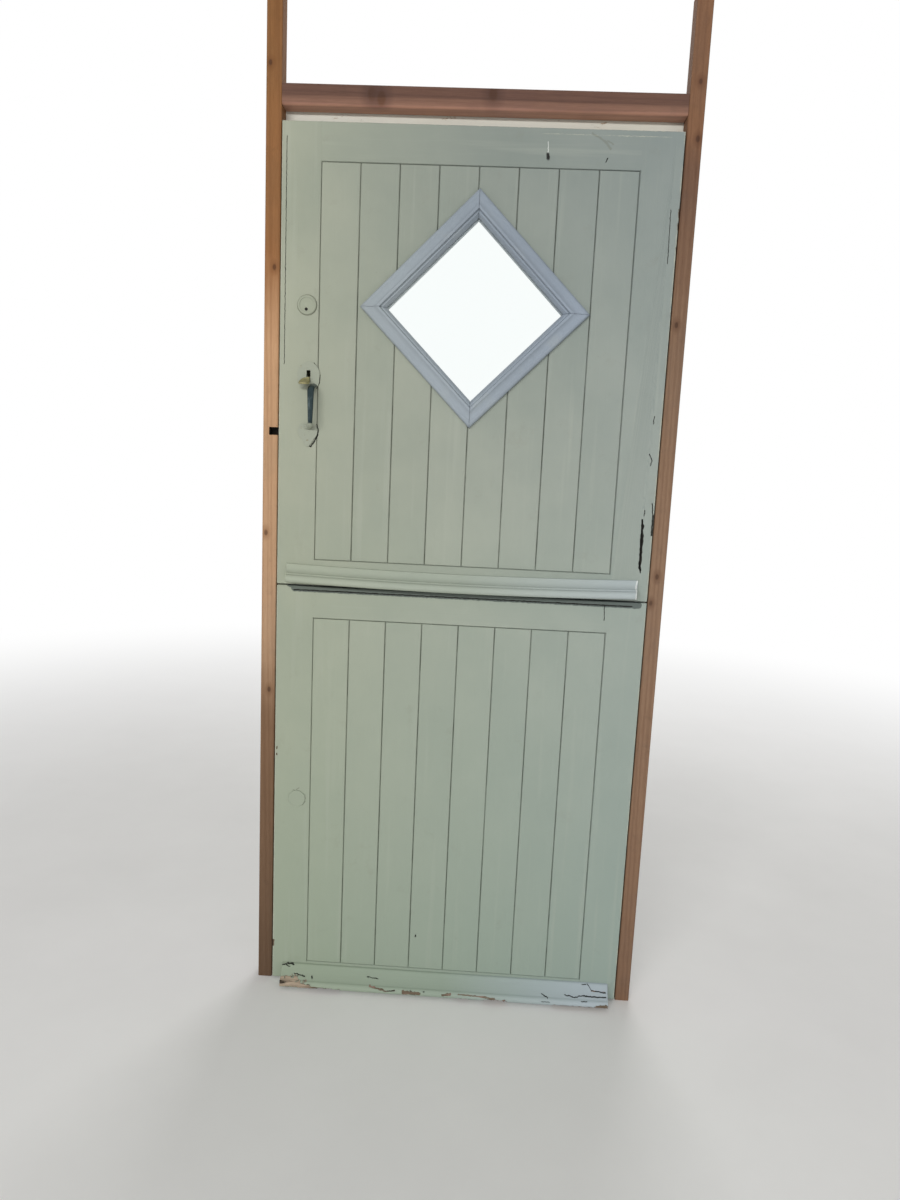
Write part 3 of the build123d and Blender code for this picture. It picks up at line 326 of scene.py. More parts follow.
    def mix(self, factor: object, first: object, second: object, blend: str = "MIX"
            ) -> Socket:
        """Mixes two colours.

        Args:
            factor: share of the second colour, from 0 to 1.
            first: the colour below.
            second: the colour on top.
            blend: how the two are mixed.

        Returns:
            The mixed colour.
        """
        made = self.node("ShaderNodeMix", data_type="RGBA", blend_type=blend)
        self.feed(made.inputs["Factor"], factor)
        self.feed(made.inputs["A"], first)
        self.feed(made.inputs["B"], second)
        return made.outputs["Result"]

    def bump(self, height: object, distance: float, strength: float = 1.0,
             normal: object = None) -> Socket:
        """Turns a height into a shading normal.

        Args:
            height: the height, from 0 to 1.
            distance: its full rise in metres.
            strength: share of the rise that shows.
            normal: an earlier normal to build on.

        Returns:
            The normal.
        """
        made = self.node("ShaderNodeBump")
        self.link(height, made.inputs["Height"])
        made.inputs["Distance"].default_value = distance
        made.inputs["Strength"].default_value = strength
        if normal is not None:
            self.link(normal, made.inputs["Normal"])
        return made.outputs["Normal"]

    def stroke(self, start: Point3, end: Point3, width: float, place: Socket
               ) -> Socket:
        """Draws a stroke on the face of the door.

        Args:
            start: where its middle line starts.
            end: where the line ends.
            width: how far from the line the stroke reaches, in metres.
            place: the shading point, flat on the face.

        Returns:
            1 on the line and 0 past the width.
        """
        line = Vector(end) - Vector(start)
        flat = self.vector("SUBTRACT", place, start)
        along = self.node("ShaderNodeMath", operation="MULTIPLY", use_clamp=True)
        self.link(self.vector("DOT_PRODUCT", flat, tuple(line)), along.inputs[0])
        along.inputs[1].default_value = 1.0 / max(line.length_squared, 1e-12)
        on_line = self.vector("MULTIPLY", self.combine(along.outputs["Value"]), tuple(line))
        away = self.vector("DISTANCE", flat, on_line)
        return self.span(away, 0.45 * width, width, 1.0, 0.0)

    def highest(self, values: Iterable[Socket]) -> Socket | None:
        """Finds the largest of several numbers.

        Args:
            values: output sockets.

        Returns:
            The largest, or None where there are none.
        """
        top = None
        for value in values:
            top = value if top is None else self.math("MAXIMUM", top, value)
        return top


# Painted light: warm on the latch side, cool on the hinge side
LATCH_SIDE_WARM_LIGHT = (1.04, 1.01, 0.91)
HINGE_SIDE_COOL_LIGHT = (0.955, 0.98, 1.04)
# Painted shade towards the head
UNDER_HEAD_SHADE = (0.68, 0.70, 0.75)
# Bluish colour of the painted reflection on the weatherboards
SKY_SHEEN_BLUE = (0.44, 0.50, 0.56)
CHALKY = (0.47, 0.49, 0.42)
DIRT_FILM = (0.2, 0.19, 0.145)
FLY_SPECK = (0.12, 0.11, 0.08)
JOINT_DIRT = (0.075, 0.08, 0.062)
PALE_EDGE_LINE = (0.50, 0.50, 0.40)
# Colour of the painted shadow under the upper weatherboard
PAINTED_BAR_SHADOW = (0.062, 0.078, 0.075)
SMEARED = (0.17, 0.175, 0.145)
UNDERCOAT = (0.76, 0.78, 0.75)
# Near-black of the cracks and of the painted shade line below the upper weatherboard
CRACK_AND_SHADE_BLACK = (0.012, 0.012, 0.01)
PALER_LEFT_WOOD = (0.50, 0.40, 0.30)
RED_PRIMER = (0.30, 0.19, 0.15)
SPLIT_DARK = (0.02, 0.015, 0.01)
FLAKE_EDGE = (0.055, 0.045, 0.033)


@dataclass(frozen=True)
class SagePaint:
    """Old brushed sage green paint on softwood.

    The paint shows the brush, a little grain, dirt along the joints and the wear and painted shade
    that the face marks name. Where the mesh's bare number is high the paint has come away.
    """

    name: str
    grain: Grain
    light: Colour = (0.385, 0.412, 0.350)
    deep: Colour = (0.320, 0.355, 0.305)
    green: Colour = (0.298, 0.366, 0.305)
    wood: Colour = (0.105, 0.070, 0.044)
    grey_wood: Colour = (0.215, 0.175, 0.130)
    marks: tuple[Mark, ...] = ()
    joint_pitch: float = 0.0
    joint_start: float = 0.0
    flaking: bool = False
    relief: float = 1.0
    sky_sheen: float = 0.0
    joint_width: float = 1.8

    def build(self) -> bpy.types.Material:
        """Builds the material.

        Returns:
            The paint.
        """
        g = Graph(self.name)
        way = self.grain.value
        colour = self.weathered(g, self.toned(g))
        brush = g.noise(420.0, way, detail=3.0, roughness=0.6)
        timber = g.noise(46.0, way, detail=3.0, distortion=0.6)
        height = g.math("ADD", g.math("MULTIPLY", brush, 0.16), g.math("MULTIPLY", timber, 0.5))
        normal = g.bump(height, 0.0009 * self.relief, 0.8)
        colour, normal, bare = self.worn(g, colour, normal)
        rough = g.span(g.noise(25.0, detail=4.0), 0.3, 0.7, 0.45, 0.6)
        if bare is not None:
            rough = g.math("MAXIMUM", rough, g.span(bare, 0.0, 1.0, 0.0, 0.85))
        g.shader.inputs["Specular IOR Level"].default_value = 0.3
        g.link(colour, g.shader.inputs["Base Color"])
        g.link(rough, g.shader.inputs["Roughness"])
        g.link(normal, g.shader.inputs["Normal"])
        return g.material

    def toned(self, g: Graph) -> Socket:
        """Lays the paint's broad tone: clouded, greener below, painted cooler light to the hinge
        side.

        Args:
            g: the graph being built.

        Returns:
            The colour.
        """
        cloudy = g.noise(3.2, detail=4.0, roughness=0.6)
        colour = g.mix(g.span(cloudy, 0.32, 0.68), self.light, self.deep)
        low = g.span(g.axis("Z"), 0.1, 1.25, 0.85, 0.0)
        colour = g.mix(low, colour, self.green)
        # Painted light: warmer to the latch side and cooler to the hinge side, as the light falls
        side = g.mix(g.span(g.axis("X"), -0.40, 0.40), LATCH_SIDE_WARM_LIGHT, HINGE_SIDE_COOL_LIGHT)
        colour = g.mix(1.0, colour, side, "MULTIPLY")
        # Painted shade: darker and bluer up towards the head, most on the hinge side
        under = g.math("MULTIPLY", g.span(g.axis("Z"), 1.0, 1.95),
                       g.span(g.axis("X"), -0.42, 0.0, 0.25, 1.0))
        colour = g.mix(under, colour, g.mix(1.0, colour, UNDER_HEAD_SHADE, "MULTIPLY"))
        # Painted reflection: paler and bluer towards the right, as cool light from that side
        # catches the paint
        if self.sky_sheen:
            sky_sheen_share = g.math("MULTIPLY", g.span(g.axis("X"), 0.0, 0.36), self.sky_sheen)
            colour = g.mix(sky_sheen_share, colour, SKY_SHEEN_BLUE)
        return g.mix(g.span(g.tone, 0.0, 1.0, 0.0, 0.16), colour, self.deep)

    def weathered(self, g: Graph, colour: Socket) -> Socket:
        """Adds the brush's streaks, chalky paint, a film of dirt and fly specks.

        Args:
            g: the graph being built.
            colour: the paint's broad tone.

        Returns:
            The colour.
        """
        way = self.grain.value
        streaks = g.noise(180.0, way, detail=4.0, roughness=0.65)
        colour = g.mix(g.span(streaks, 0.55, 0.75, 0.0, 0.16), colour, self.deep)
        pale = g.noise(60.0, way, detail=3.0)
        colour = g.mix(g.span(pale, 0.58, 0.8, 0.0, 0.18), colour, CHALKY)
        grime = g.noise(14.0, detail=6.0, roughness=0.72)
        colour = g.mix(g.span(grime, 0.6, 0.8, 0.0, 0.22), colour, DIRT_FILM)
        specks = g.noise(330.0, detail=2.0, roughness=0.7)
        return g.mix(g.span(specks, 0.745, 0.79, 0.0, 0.5), colour, FLY_SPECK)

    def worn(self, g: Graph, colour: Socket, normal: Socket
             ) -> tuple[Socket, Socket, Socket | None]:
        """Adds dirt in the joints, the face marks and flaked stretches.

        Args:
            g: the graph being built.
            colour: the sound paint's colour.
            normal: the sound paint's normal.

        Returns:
            The colour, the normal, and the mask of bare wood or None.
        """
        bare = None
        if self.joint_pitch:
            turn = g.math("SUBTRACT", g.axis("X"), self.joint_start)
            part = g.math("FRACT", g.math("DIVIDE", turn, self.joint_pitch))
            off = g.math("ABSOLUTE", g.math("SUBTRACT", part, 0.5))
            line = g.span(off, 0.5 - self.joint_width * MM / self.joint_pitch, 0.5, 0.0, 1.0)
            patches = g.noise(9.0, detail=5.0, roughness=0.7, shared=True)
            patchy = g.span(patches, 0.38, 0.62, 0.0, 0.85)
            colour = g.mix(g.math("MULTIPLY", line, patchy), colour, JOINT_DIRT)
        if self.marks:
            colour, normal = self.marked(g, colour, normal)
        if self.flaking:
            colour, normal, bare = self.flaked(g, colour, normal)
        return colour, normal, bare

    def marked(self, g: Graph, colour: Socket, normal: Socket) -> tuple[Socket, Socket]:
        """Adds the face marks, each kind in its own colour.

        Args:
            g: the graph being built.
            colour: the paint's colour so far.
            normal: the paint's normal so far.

        Returns:
            The colour and the normal.
        """
        flat = (1.0, 0.0, 1.0)
        wobble = g.node("ShaderNodeTexNoise")
        g.link(g.vector("MULTIPLY", g.place, flat), wobble.inputs["Vector"])
        wobble.inputs["Scale"].default_value = 160.0
        wobble.inputs["Detail"].default_value = 4.0
        shift = g.vector("SUBTRACT", wobble.outputs["Color"], (0.5, 0.5, 0.5))
        shift = g.vector("MULTIPLY", shift, (4.0 * MM, 0.0, 4.0 * MM))
        place = g.vector("ADD", g.vector("MULTIPLY", g.place, flat), shift)
        masks: dict[Wear, list[Socket]] = {kind: [] for kind in Wear}
        for mark in self.marks:
            ends = (door_point(mark.start), door_point(mark.end))
            masks[mark.kind].append(g.stroke(*ends, mark.width * MM, place))
        rub = g.highest(masks[Wear.RUB])
        grime, smear, scratch, chip, crack = (
            self.outside(g, masks[kind])
            for kind in (Wear.GRIME, Wear.SMEAR, Wear.SCRATCH, Wear.CHIP, Wear.CRACK))
        # Pale broken lines along the edges
        if rub is not None:
            breaks = g.noise(26.0, detail=6.0, roughness=0.7, shared=True)
            broken = g.span(breaks, 0.42, 0.6, 0.0, 0.75)
            colour = g.mix(g.math("MULTIPLY", rub, broken), colour, PALE_EDGE_LINE)
        # The painted shadow that the upper weatherboard casts
        if grime is not None:
            colour = g.mix(g.span(grime, 0.3, 0.5, 0.0, 0.8), colour, PAINTED_BAR_SHADOW)
        if smear is not None:
            colour = g.mix(g.math("MULTIPLY", smear, 0.5), colour, SMEARED)
        if scratch is not None:
            colour = g.mix(g.math("MULTIPLY", scratch, 0.75), colour, UNDERCOAT)
        # Cracks, and the painted shade line below the upper weatherboard, go near-black
        for mask, below, rise in ((chip, self.wood, 0.0006), (crack, CRACK_AND_SHADE_BLACK, 0.002)):
            if mask is not None:
                colour = g.mix(mask, colour, below)
                normal = g.bump(g.math("SUBTRACT", 1.0, mask), rise, 1.0, normal)
        return colour, normal

    def outside(self, g: Graph, values: Iterable[Socket]) -> Socket | None:
        """Joins the strokes of one kind of mark and keeps them to the weather side.

        Args:
            g: the graph being built.
            values: the strokes' masks.

        Returns:
            The mask, or None where there are no strokes.
        """
        top = g.highest(values)
        if top is None:
            return None
        middle = sum(corner.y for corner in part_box("lower_left_stile")) / 2.0
        return g.math("MULTIPLY", top, g.span(g.axis("Y"), middle - MM, middle + MM, 1.0, 0.0))

    def flaked(self, g: Graph, colour: Socket, normal: Socket) -> tuple[Socket, Socket, Socket]:
        """Takes the paint away where the mesh's bare number is high.

        Args:
            g: the graph being built.
            colour: the paint's colour so far.
            normal: the paint's normal so far.

        Returns:
            The colour, the normal and the mask of bare wood.
        """
        flakes = g.noise(85.0, (0.55, 1.0, 1.0), detail=6.0, roughness=0.62)
        depth = g.math("ADD", g.attribute("bare"), g.span(flakes, 0.25, 0.75, -0.16, 0.16))
        bare = g.span(depth, 0.49, 0.52)
        fibre = g.noise(260.0, self.grain.value, detail=5.0, roughness=0.7)
        wood = g.mix(g.span(fibre, 0.35, 0.65), self.wood, self.grey_wood)
        # Bare wood paler towards the left-hand end
        paler_left = g.span(g.axis("X"), -0.335, -0.31, 1.0, 0.0)
        wood = g.mix(g.math("MULTIPLY", paler_left, g.span(fibre, 0.3, 0.6)), wood, PALER_LEFT_WOOD)
        under = g.span(g.noise(30.0, detail=4.0), 0.56, 0.62, 0.0, 0.8)
        wood = g.mix(under, wood, RED_PRIMER)
        split = g.span(g.noise(120.0, (0.12, 1.0, 1.0), detail=3.0), 0.60, 0.66)
        wood = g.mix(split, wood, SPLIT_DARK)
        colour = g.mix(g.span(depth, 0.42, 0.47, 0.0, 0.85), colour, FLAKE_EDGE)
        colour = g.mix(bare, colour, wood)
        layer = g.math("SUBTRACT", 1.0, g.span(depth, 0.46, 0.54))
        normal = g.bump(layer, 0.0007, 1.0, normal)
        normal = g.bump(g.math("MULTIPLY", fibre, bare), 0.0006, 0.8, normal)
        return colour, normal, bare


KNOT_DARK = (0.09, 0.036, 0.016)
WOOD_GRIME = (0.09, 0.065, 0.045)
# Painted shade inside a hollow
HOLLOW_SHADE = (0.012, 0.008, 0.005)


@dataclass(frozen=True)
class Pine:
    """Bare or stained softwood, with its growth bands, fibres and knots."""

    name: str
    grain: Grain
    pale: Colour
    band: Colour
    weathered: Colour
    knots: tuple[Point3, ...] = ()
    knot_width: float = 10.0
    roughness: float = 0.62
    figure: float = 0.45
    shades: tuple[tuple[float, Colour], ...] = ()
    shade_sway: float = 0.1
    shaded_hollow: tuple[Point3, Point3] | None = None
    knot_squash: float = 0.62

    def build(self) -> bpy.types.Material:
        """Builds the material.

        Returns:
            The wood.
        """
        g = Graph(self.name)
        way = self.grain.value
        slow = tuple(0.4 * part if part < 1.0 else part for part in way)
        place = g.vector("MULTIPLY", g.own_place, slow)
        warp = g.noise(9.0, way, detail=2.0)
        bands = g.node("ShaderNodeTexWave", wave_type="BANDS", bands_direction="DIAGONAL")
        g.link(place, bands.inputs["Vector"])
        for key, value in (("Scale", 48.0), ("Distortion", 9.0), ("Detail", 3.0),
                           ("Detail Scale", 0.7), ("Detail Roughness", 0.6)):
            bands.inputs[key].default_value = value
        swirl = g.math("ADD", bands.outputs["Fac"], g.math("MULTIPLY", warp, 0.4))
        rings = g.span(swirl, 0.5, 1.3, 0.0, self.figure)
        colour = g.mix(rings, self.pale, self.band)
        fibre = g.noise(700.0, way, detail=3.0, roughness=0.7)
        colour = g.mix(g.span(fibre, 0.45, 0.7, 0.0, 0.35), colour, self.band)
        stain = g.noise(5.5, (1.0, 1.0, 0.5), detail=5.0, roughness=0.65)
        colour = g.mix(g.span(stain, 0.5, 0.75, 0.0, 0.7), colour, self.weathered)
        for knot in self.knots:
            squashed = g.vector("MULTIPLY", g.place, (1.0, 1.0, self.knot_squash))
            away = g.vector("DISTANCE", squashed, (knot[0], knot[1], knot[2] * self.knot_squash))
            wobbly = g.math("ADD", away, g.span(stain, 0.0, 1.0, -2.0 * MM, 2.0 * MM))
            width = self.knot_width * MM
            colour = g.mix(g.span(wobbly, 0.5 * width, 1.3 * width, 0.75, 0.0), colour, self.band)
            colour = g.mix(g.span(wobbly, 0.28 * width, 0.5 * width, 0.7, 0.0), colour, KNOT_DARK)
        grime = g.noise(22.0, detail=6.0, roughness=0.72)
        colour = g.mix(g.span(grime, 0.58, 0.78, 0.0, 0.35), colour, WOOD_GRIME)
        if self.shades:
            colour = g.mix(1.0, colour, self.shade(g), "MULTIPLY")
        # Painted shade inside a hollow, such as the post's socket
        if self.shaded_hollow is not None:
            dark: object = 1.0
            for letter, low, high in zip("XYZ", *self.shaded_hollow):
                middle, half = (low + high) / 2.0, (high - low) / 2.0
                off = g.math("ABSOLUTE", g.math("SUBTRACT", g.axis(letter), middle))
                dark = g.math("MULTIPLY", dark, g.span(off, half, half + 0.3 * MM, 1.0, 0.0))
            colour = g.mix(dark, colour, HOLLOW_SHADE)
        height = g.math("ADD", g.math("MULTIPLY", fibre, 0.5), g.math("MULTIPLY", rings, 0.35))
        g.link(colour, g.shader.inputs["Base Color"])
        g.link(g.bump(height, 0.0007, 0.7), g.shader.inputs["Normal"])
        rough = g.span(fibre, 0.3, 0.7, self.roughness, self.roughness + 0.16)
        g.link(rough, g.shader.inputs["Roughness"])
        return g.material

    def shade(self, g: Graph) -> Socket:
        """Lightens and darkens the wood up its height: partly weathering, partly painted light and
        shade.

        Args:
            g: the graph being built.

        Returns:
            The colour to multiply by.
        """
        lowest, highest = self.shades[0][0], self.shades[-1][0]
        ramp = g.node("ShaderNodeValToRGB")
        sway = g.span(g.noise(7.0, detail=3.0), 0.0, 1.0, -self.shade_sway, self.shade_sway)
        wavy = g.math("ADD", g.axis("Z"), sway)
        g.link(g.span(wavy, lowest, highest), ramp.inputs["Fac"])
        stops = ramp.color_ramp.elements
        for height, colour in self.shades[1:-1]:
            stops.new((height - lowest) / (highest - lowest)).color = (*colour, 1.0)
        stops[0].color = (*self.shades[0][1], 1.0)
        stops[-1].color = (*self.shades[-1][1], 1.0)
        return ramp.outputs["Color"]


@dataclass(frozen=True)
class ScuffedPaint:
    """Thin white paint on a planed lath, scuffed through to the wood."""

    name: str
    paint: Colour
    below: Colour
    yellowed: Colour = (0.5, 0.47, 0.4)

    def build(self) -> bpy.types.Material:
        """Builds the material.

        Returns:
            The lath's paint.
        """
        g = Graph(self.name)
        scuffs = g.noise(38.0, (0.4, 1.0, 1.0), detail=7.0, roughness=0.75)
        clouds = g.noise(7.0, detail=4.0)
        colour = g.mix(g.span(clouds, 0.3, 0.7, 0.0, 0.3), self.paint, self.yellowed)
        through = g.span(scuffs, 0.62, 0.66)
        colour = g.mix(through, colour, self.below)
        g.link(colour, g.shader.inputs["Base Color"])
        g.link(g.span(scuffs, 0.3, 0.7, 0.45, 0.75), g.shader.inputs["Roughness"])
        g.link(g.bump(scuffs, 0.0006, 0.7), g.shader.inputs["Normal"])
        return g.material


@dataclass(frozen=True)
class Metal:
    """Metal or a thin coat on it, rubbed, spotted and slightly uneven."""

    name: str
    colour: Colour
    worn: Colour
    metallic: float
    rough_low: float
    rough_high: float
    patches: float = 0.5
    fine: float = 400.0
    spot_share: float = 0.35

    def build(self) -> bpy.types.Material:
        """Builds the material.

        Returns:
            The metal.
        """
        g = Graph(self.name)
        wear = g.noise(55.0, detail=6.0, roughness=0.7)
        colour = g.mix(g.span(wear, self.patches, self.patches + 0.14), self.colour, self.worn)
        spots = g.noise(240.0, detail=3.0, roughness=0.6)
        colour = g.mix(g.span(spots, 0.66, 0.74, 0.0, 0.5), colour,
                       tuple(self.spot_share * part for part in self.colour))
        g.shader.inputs["Metallic"].default_value = self.metallic
        g.link(colour, g.shader.inputs["Base Color"])
        rough = g.span(wear, 0.3, 0.7, self.rough_low, self.rough_high)
        g.link(rough, g.shader.inputs["Roughness"])
        g.link(g.bump(g.noise(self.fine, detail=3.0), 0.0002, 0.6), g.shader.inputs["Normal"])
        return g.material


@dataclass(frozen=True)
class PaintedIron:
    """Iron that is painted over near the door and handled bare where it stands off it."""

    name: str
    paint: Colour
    iron: Colour
    rubbed: Colour
    bare_from: float
    bare_above: float
    dirt: Colour = (0.16, 0.16, 0.12)

    def build(self) -> bpy.types.Material:
        """Builds the material.

        Returns:
            The painted iron.
        """
        g = Graph(self.name)
        ragged = g.span(g.noise(240.0, detail=4.0), 0.3, 0.7, -0.8 * MM, 0.8 * MM)
        bare = g.span(g.math("ADD", g.axis("Y"), ragged), self.bare_from - 0.4 * MM,
                      self.bare_from + 0.4 * MM, 1.0, 0.0)
        above = g.span(g.math("ADD", g.axis("Z"), g.math("MULTIPLY", ragged, 2.0)),
                       self.bare_above, self.bare_above + 3.0 * MM)
        bare = g.math("MULTIPLY", bare, above)
        wear = g.noise(70.0, (1.0, 1.0, 0.4), detail=6.0, roughness=0.7)
        iron = g.mix(g.span(wear, 0.52, 0.66), self.iron, self.rubbed)
        grime = g.noise(130.0, detail=5.0, roughness=0.7)
        paint = g.mix(g.span(grime, 0.6, 0.72, 0.0, 0.6), self.paint, self.dirt)
        g.link(g.mix(bare, paint, iron), g.shader.inputs["Base Color"])
        g.link(g.math("MULTIPLY", bare, 0.7), g.shader.inputs["Metallic"])
        g.shader.inputs["Specular IOR Level"].default_value = 0.3
        g.link(g.span(g.math("ADD", bare, wear), 0.3, 1.6, 0.5, 0.3), g.shader.inputs["Roughness"])
        height = g.math("ADD", g.math("MULTIPLY", bare, -0.6), g.math("MULTIPLY", grime, 0.4))
        g.link(g.bump(height, 0.0004, 0.8), g.shader.inputs["Normal"])
        return g.material


@dataclass(frozen=True)
class ClearGlass:
    """Clear float glass with a faint film of dust."""

    name: str
    tint: Colour = (0.94, 0.98, 0.97)
    bend: float = 1.46

    def build(self) -> bpy.types.Material:
        """Builds the material.

        Returns:
            The glass.
        """
        g = Graph(self.name)
        g.shader.inputs["Base Color"].default_value = (*self.tint, 1.0)
        g.shader.inputs["Transmission Weight"].default_value = 1.0
        g.shader.inputs["IOR"].default_value = self.bend
        film = g.noise(20.0, detail=5.0, roughness=0.7)
        g.link(g.span(film, 0.4, 0.8, 0.0, 0.06), g.shader.inputs["Roughness"])
        return g.material


Finish = SagePaint | Pine | ScuffedPaint | Metal | PaintedIron | ClearGlass


class Finishes:
    """The finishes by name, each built the first time it is asked for."""

    def __init__(self) -> None:
        """Starts with nothing built."""
        self.made: dict[str, bpy.types.Material] = {}

    def get(self, finish: Finish) -> bpy.types.Material:
        """Builds a finish once and hands it out again.

        Args:
            finish: one of the finish classes above.

        Returns:
            Its material.
        """
        if finish.name not in self.made:
            self.made[finish.name] = finish.build()
        return self.made[finish.name]


FINISHES = Finishes()

BLACK_IRON = Metal("black_iron", colour=(0.028, 0.028, 0.03), worn=(0.11, 0.075, 0.05),
                   metallic=0.55, rough_low=0.38, rough_high=0.6, patches=0.56)
HINGE_STEEL = Metal("hinge_steel", colour=(0.42, 0.40, 0.37), worn=(0.26, 0.2, 0.15),
                    metallic=0.9, rough_low=0.32, rough_high=0.55)
BOLT_STEEL = Metal("bolt_steel", colour=(0.5, 0.5, 0.49), worn=(0.33, 0.3, 0.27),
                   metallic=0.9, rough_low=0.28, rough_high=0.5, patches=0.55)
GRIP_STEEL = PaintedIron("grip_steel", paint=(0.335, 0.358, 0.288), iron=(0.03, 0.047, 0.05),
                         rubbed=(0.105, 0.14, 0.145), bare_from=-27.0 * MM, bare_above=1.356)
WORN_BRASS = Metal("worn_brass", colour=(0.34, 0.31, 0.15), worn=(0.22, 0.21, 0.13),
                   metallic=0.6, rough_low=0.35, rough_high=0.55, patches=0.5)
PAINTED_SCREW = Metal("painted_screw", colour=(0.33, 0.34, 0.26), worn=(0.17, 0.13, 0.07),
                      metallic=0.1, rough_low=0.45, rough_high=0.6, patches=0.5)
CASE_ENAMEL = Metal("case_enamel", colour=(0.20, 0.17, 0.12), worn=(0.34, 0.27, 0.15),
                    metallic=0.35, rough_low=0.35, rough_high=0.5, patches=0.6)
# Near-black painted shade inside holes: the split and the keyway
HOLE_SHADE = Metal("dark_hole", colour=(0.012, 0.012, 0.011), worn=(0.03, 0.026, 0.02),
                  metallic=0.0, rough_low=0.8, rough_high=0.9)
WINDOW_GLASS = ClearGlass("window_glass")
LATH_WHITE = ScuffedPaint("lath_white", (0.66, 0.65, 0.58), (0.34, 0.25, 0.17))


# Mesh work shared by the pieces

MARK_WANDER = 4.0        # mm that the paint's unevenness can carry a mark aside
WELD = 2e-6              # metres within which two points are one
FLAT_ANGLE = 0.5         # degrees below which two faces are one
EASE_ANGLE = 28.0        # degrees from which an edge is eased
TIMBER_ANGLE = 50.0      # the same on a timber of a leaf
SMOOTH_ANGLE = 40.0      # degrees up to which an eased edge is shaded smooth


def door_point(place: Point2) -> Point3:
    """Turns mm from the leaves' latch edge and foot into a point of the face plane, with Y 0."""
    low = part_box("lower_left_stile")[0]
    return (low.x + place[0] * MM, 0.0, low.z + place[1] * MM)


def marks_near(nodes: Iterable[str]) -> tuple[Mark, ...]:
    """Picks the face marks that reach any of these solids, seen from the front.

    Args:
        nodes: names of the solids.

    Returns:
        The marks, in the order of the table.
    """
    boxes = [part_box(node) for node in nodes]
    chosen = []
    for mark in FACE_MARKS:
        (left, right), (foot, top) = (sorted(pair) for pair in zip(mark.start, mark.end))
        reach = mark.width + MARK_WANDER
        west, _, south = door_point((left - reach, foot - reach))
        east, _, north = door_point((right + reach, top + reach))
        if any(low.x < east and high.x > west and low.z < north and high.z > south
               for low, high in boxes):
            chosen.append(mark)
    return tuple(chosen)


def give_number(mesh: bpy.types.Mesh, name: str, values: float | list[float]) -> None:
    """Stores a number on each point of a mesh, for a finish to read.

    Args:
        mesh: the mesh.
        name: the number's name.
        values: one number for all points, or a list with one for each.
    """
    stored = mesh.attributes.new(name, "FLOAT", "POINT")
    count = len(mesh.vertices)
    numbers = [values] * count if isinstance(values, float) else values
    stored.data.foreach_set("value", numbers)


def make_object(name: str, shape: bmesh.types.BMesh, smooth_angle: float = 35.0
                ) -> bpy.types.Object:
    """Turns a finished bmesh into an object of the scene.

    Args:
        name: the piece's name.
        shape: the bmesh, which is freed.
        smooth_angle: edges sharper than this many degrees stay crisp.

    Returns:
        The new object.
    """
    mesh = bpy.data.meshes.new(name)
    bmesh.ops.recalc_face_normals(shape, faces=shape.faces)
    shape.to_mesh(mesh)
    shape.free()
    mesh.shade_smooth()
    mesh.set_sharp_from_angle(angle=math.radians(smooth_angle))
    obj = bpy.data.objects.new(name, mesh)
    bpy.context.scene.collection.objects.link(obj)
    return obj


def settle(obj: bpy.types.Object, body: str, slot: str, finish: Finish, *nodes: str,
           tone: float | None = None) -> bpy.types.Object:
    """Dresses a piece, sets it on its body and hides the solids that it stands for.

    Args:
        obj: the piece.
        body: the body that it rides on.
        slot: the record's material slot; not used.
        finish: its finish.
        nodes: solids that it replaces.
        tone: which stretch of the finish's pattern it shows, or its own if none is given.

    Returns:
        The piece.
    """
    give_number(obj.data, "tone", random.Random(obj.name).random() if tone is None else tone)
    obj.data.materials.clear()
    obj.data.materials.append(FINISHES.get(finish))
    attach(obj, body)
    if nodes:
        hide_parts(*nodes)
    log.info("%s on %s", obj.name, body)
    return obj


@dataclass(frozen=True)
class Rim:
    """Outline of a leaf, whose corners are rounder than the joints within it."""

    low: Vector
    high: Vector
    ease: float

    def holds(self, edge: bmesh.types.BMEdge) -> bool:
        """Whether an edge lies on the outline, with both of its ends on the same side.

        Args:
            edge: an edge of a timber.

        Returns:
            True on the outline.
        """
        near = 0.2 * MM
        first, second = (vert.co for vert in edge.verts)
        return any(abs(first[axis] - side[axis]) < near and abs(second[axis] - side[axis]) < near
                   for axis in (0, 2) for side in (self.low, self.high))


def ease_edges(shape: bmesh.types.BMesh, edges: list[bmesh.types.BMEdge], ease: float) -> None:
    """Rounds the named edges of a shape by a width in mm."""
    bmesh.ops.bevel(shape, geom=edges, offset=ease * MM, offset_type="OFFSET", segments=2,
                    profile=0.5, affect="EDGES", clamp_overlap=True)


def crisp_edges(shape: bmesh.types.BMesh, least: float) -> list[bmesh.types.BMEdge]:
    """Edges of a shape where its faces meet at more than so many degrees."""
    return [edge for edge in shape.edges
            if len(edge.link_faces) == 2 and edge.calc_face_angle(0.0) > math.radians(least)]


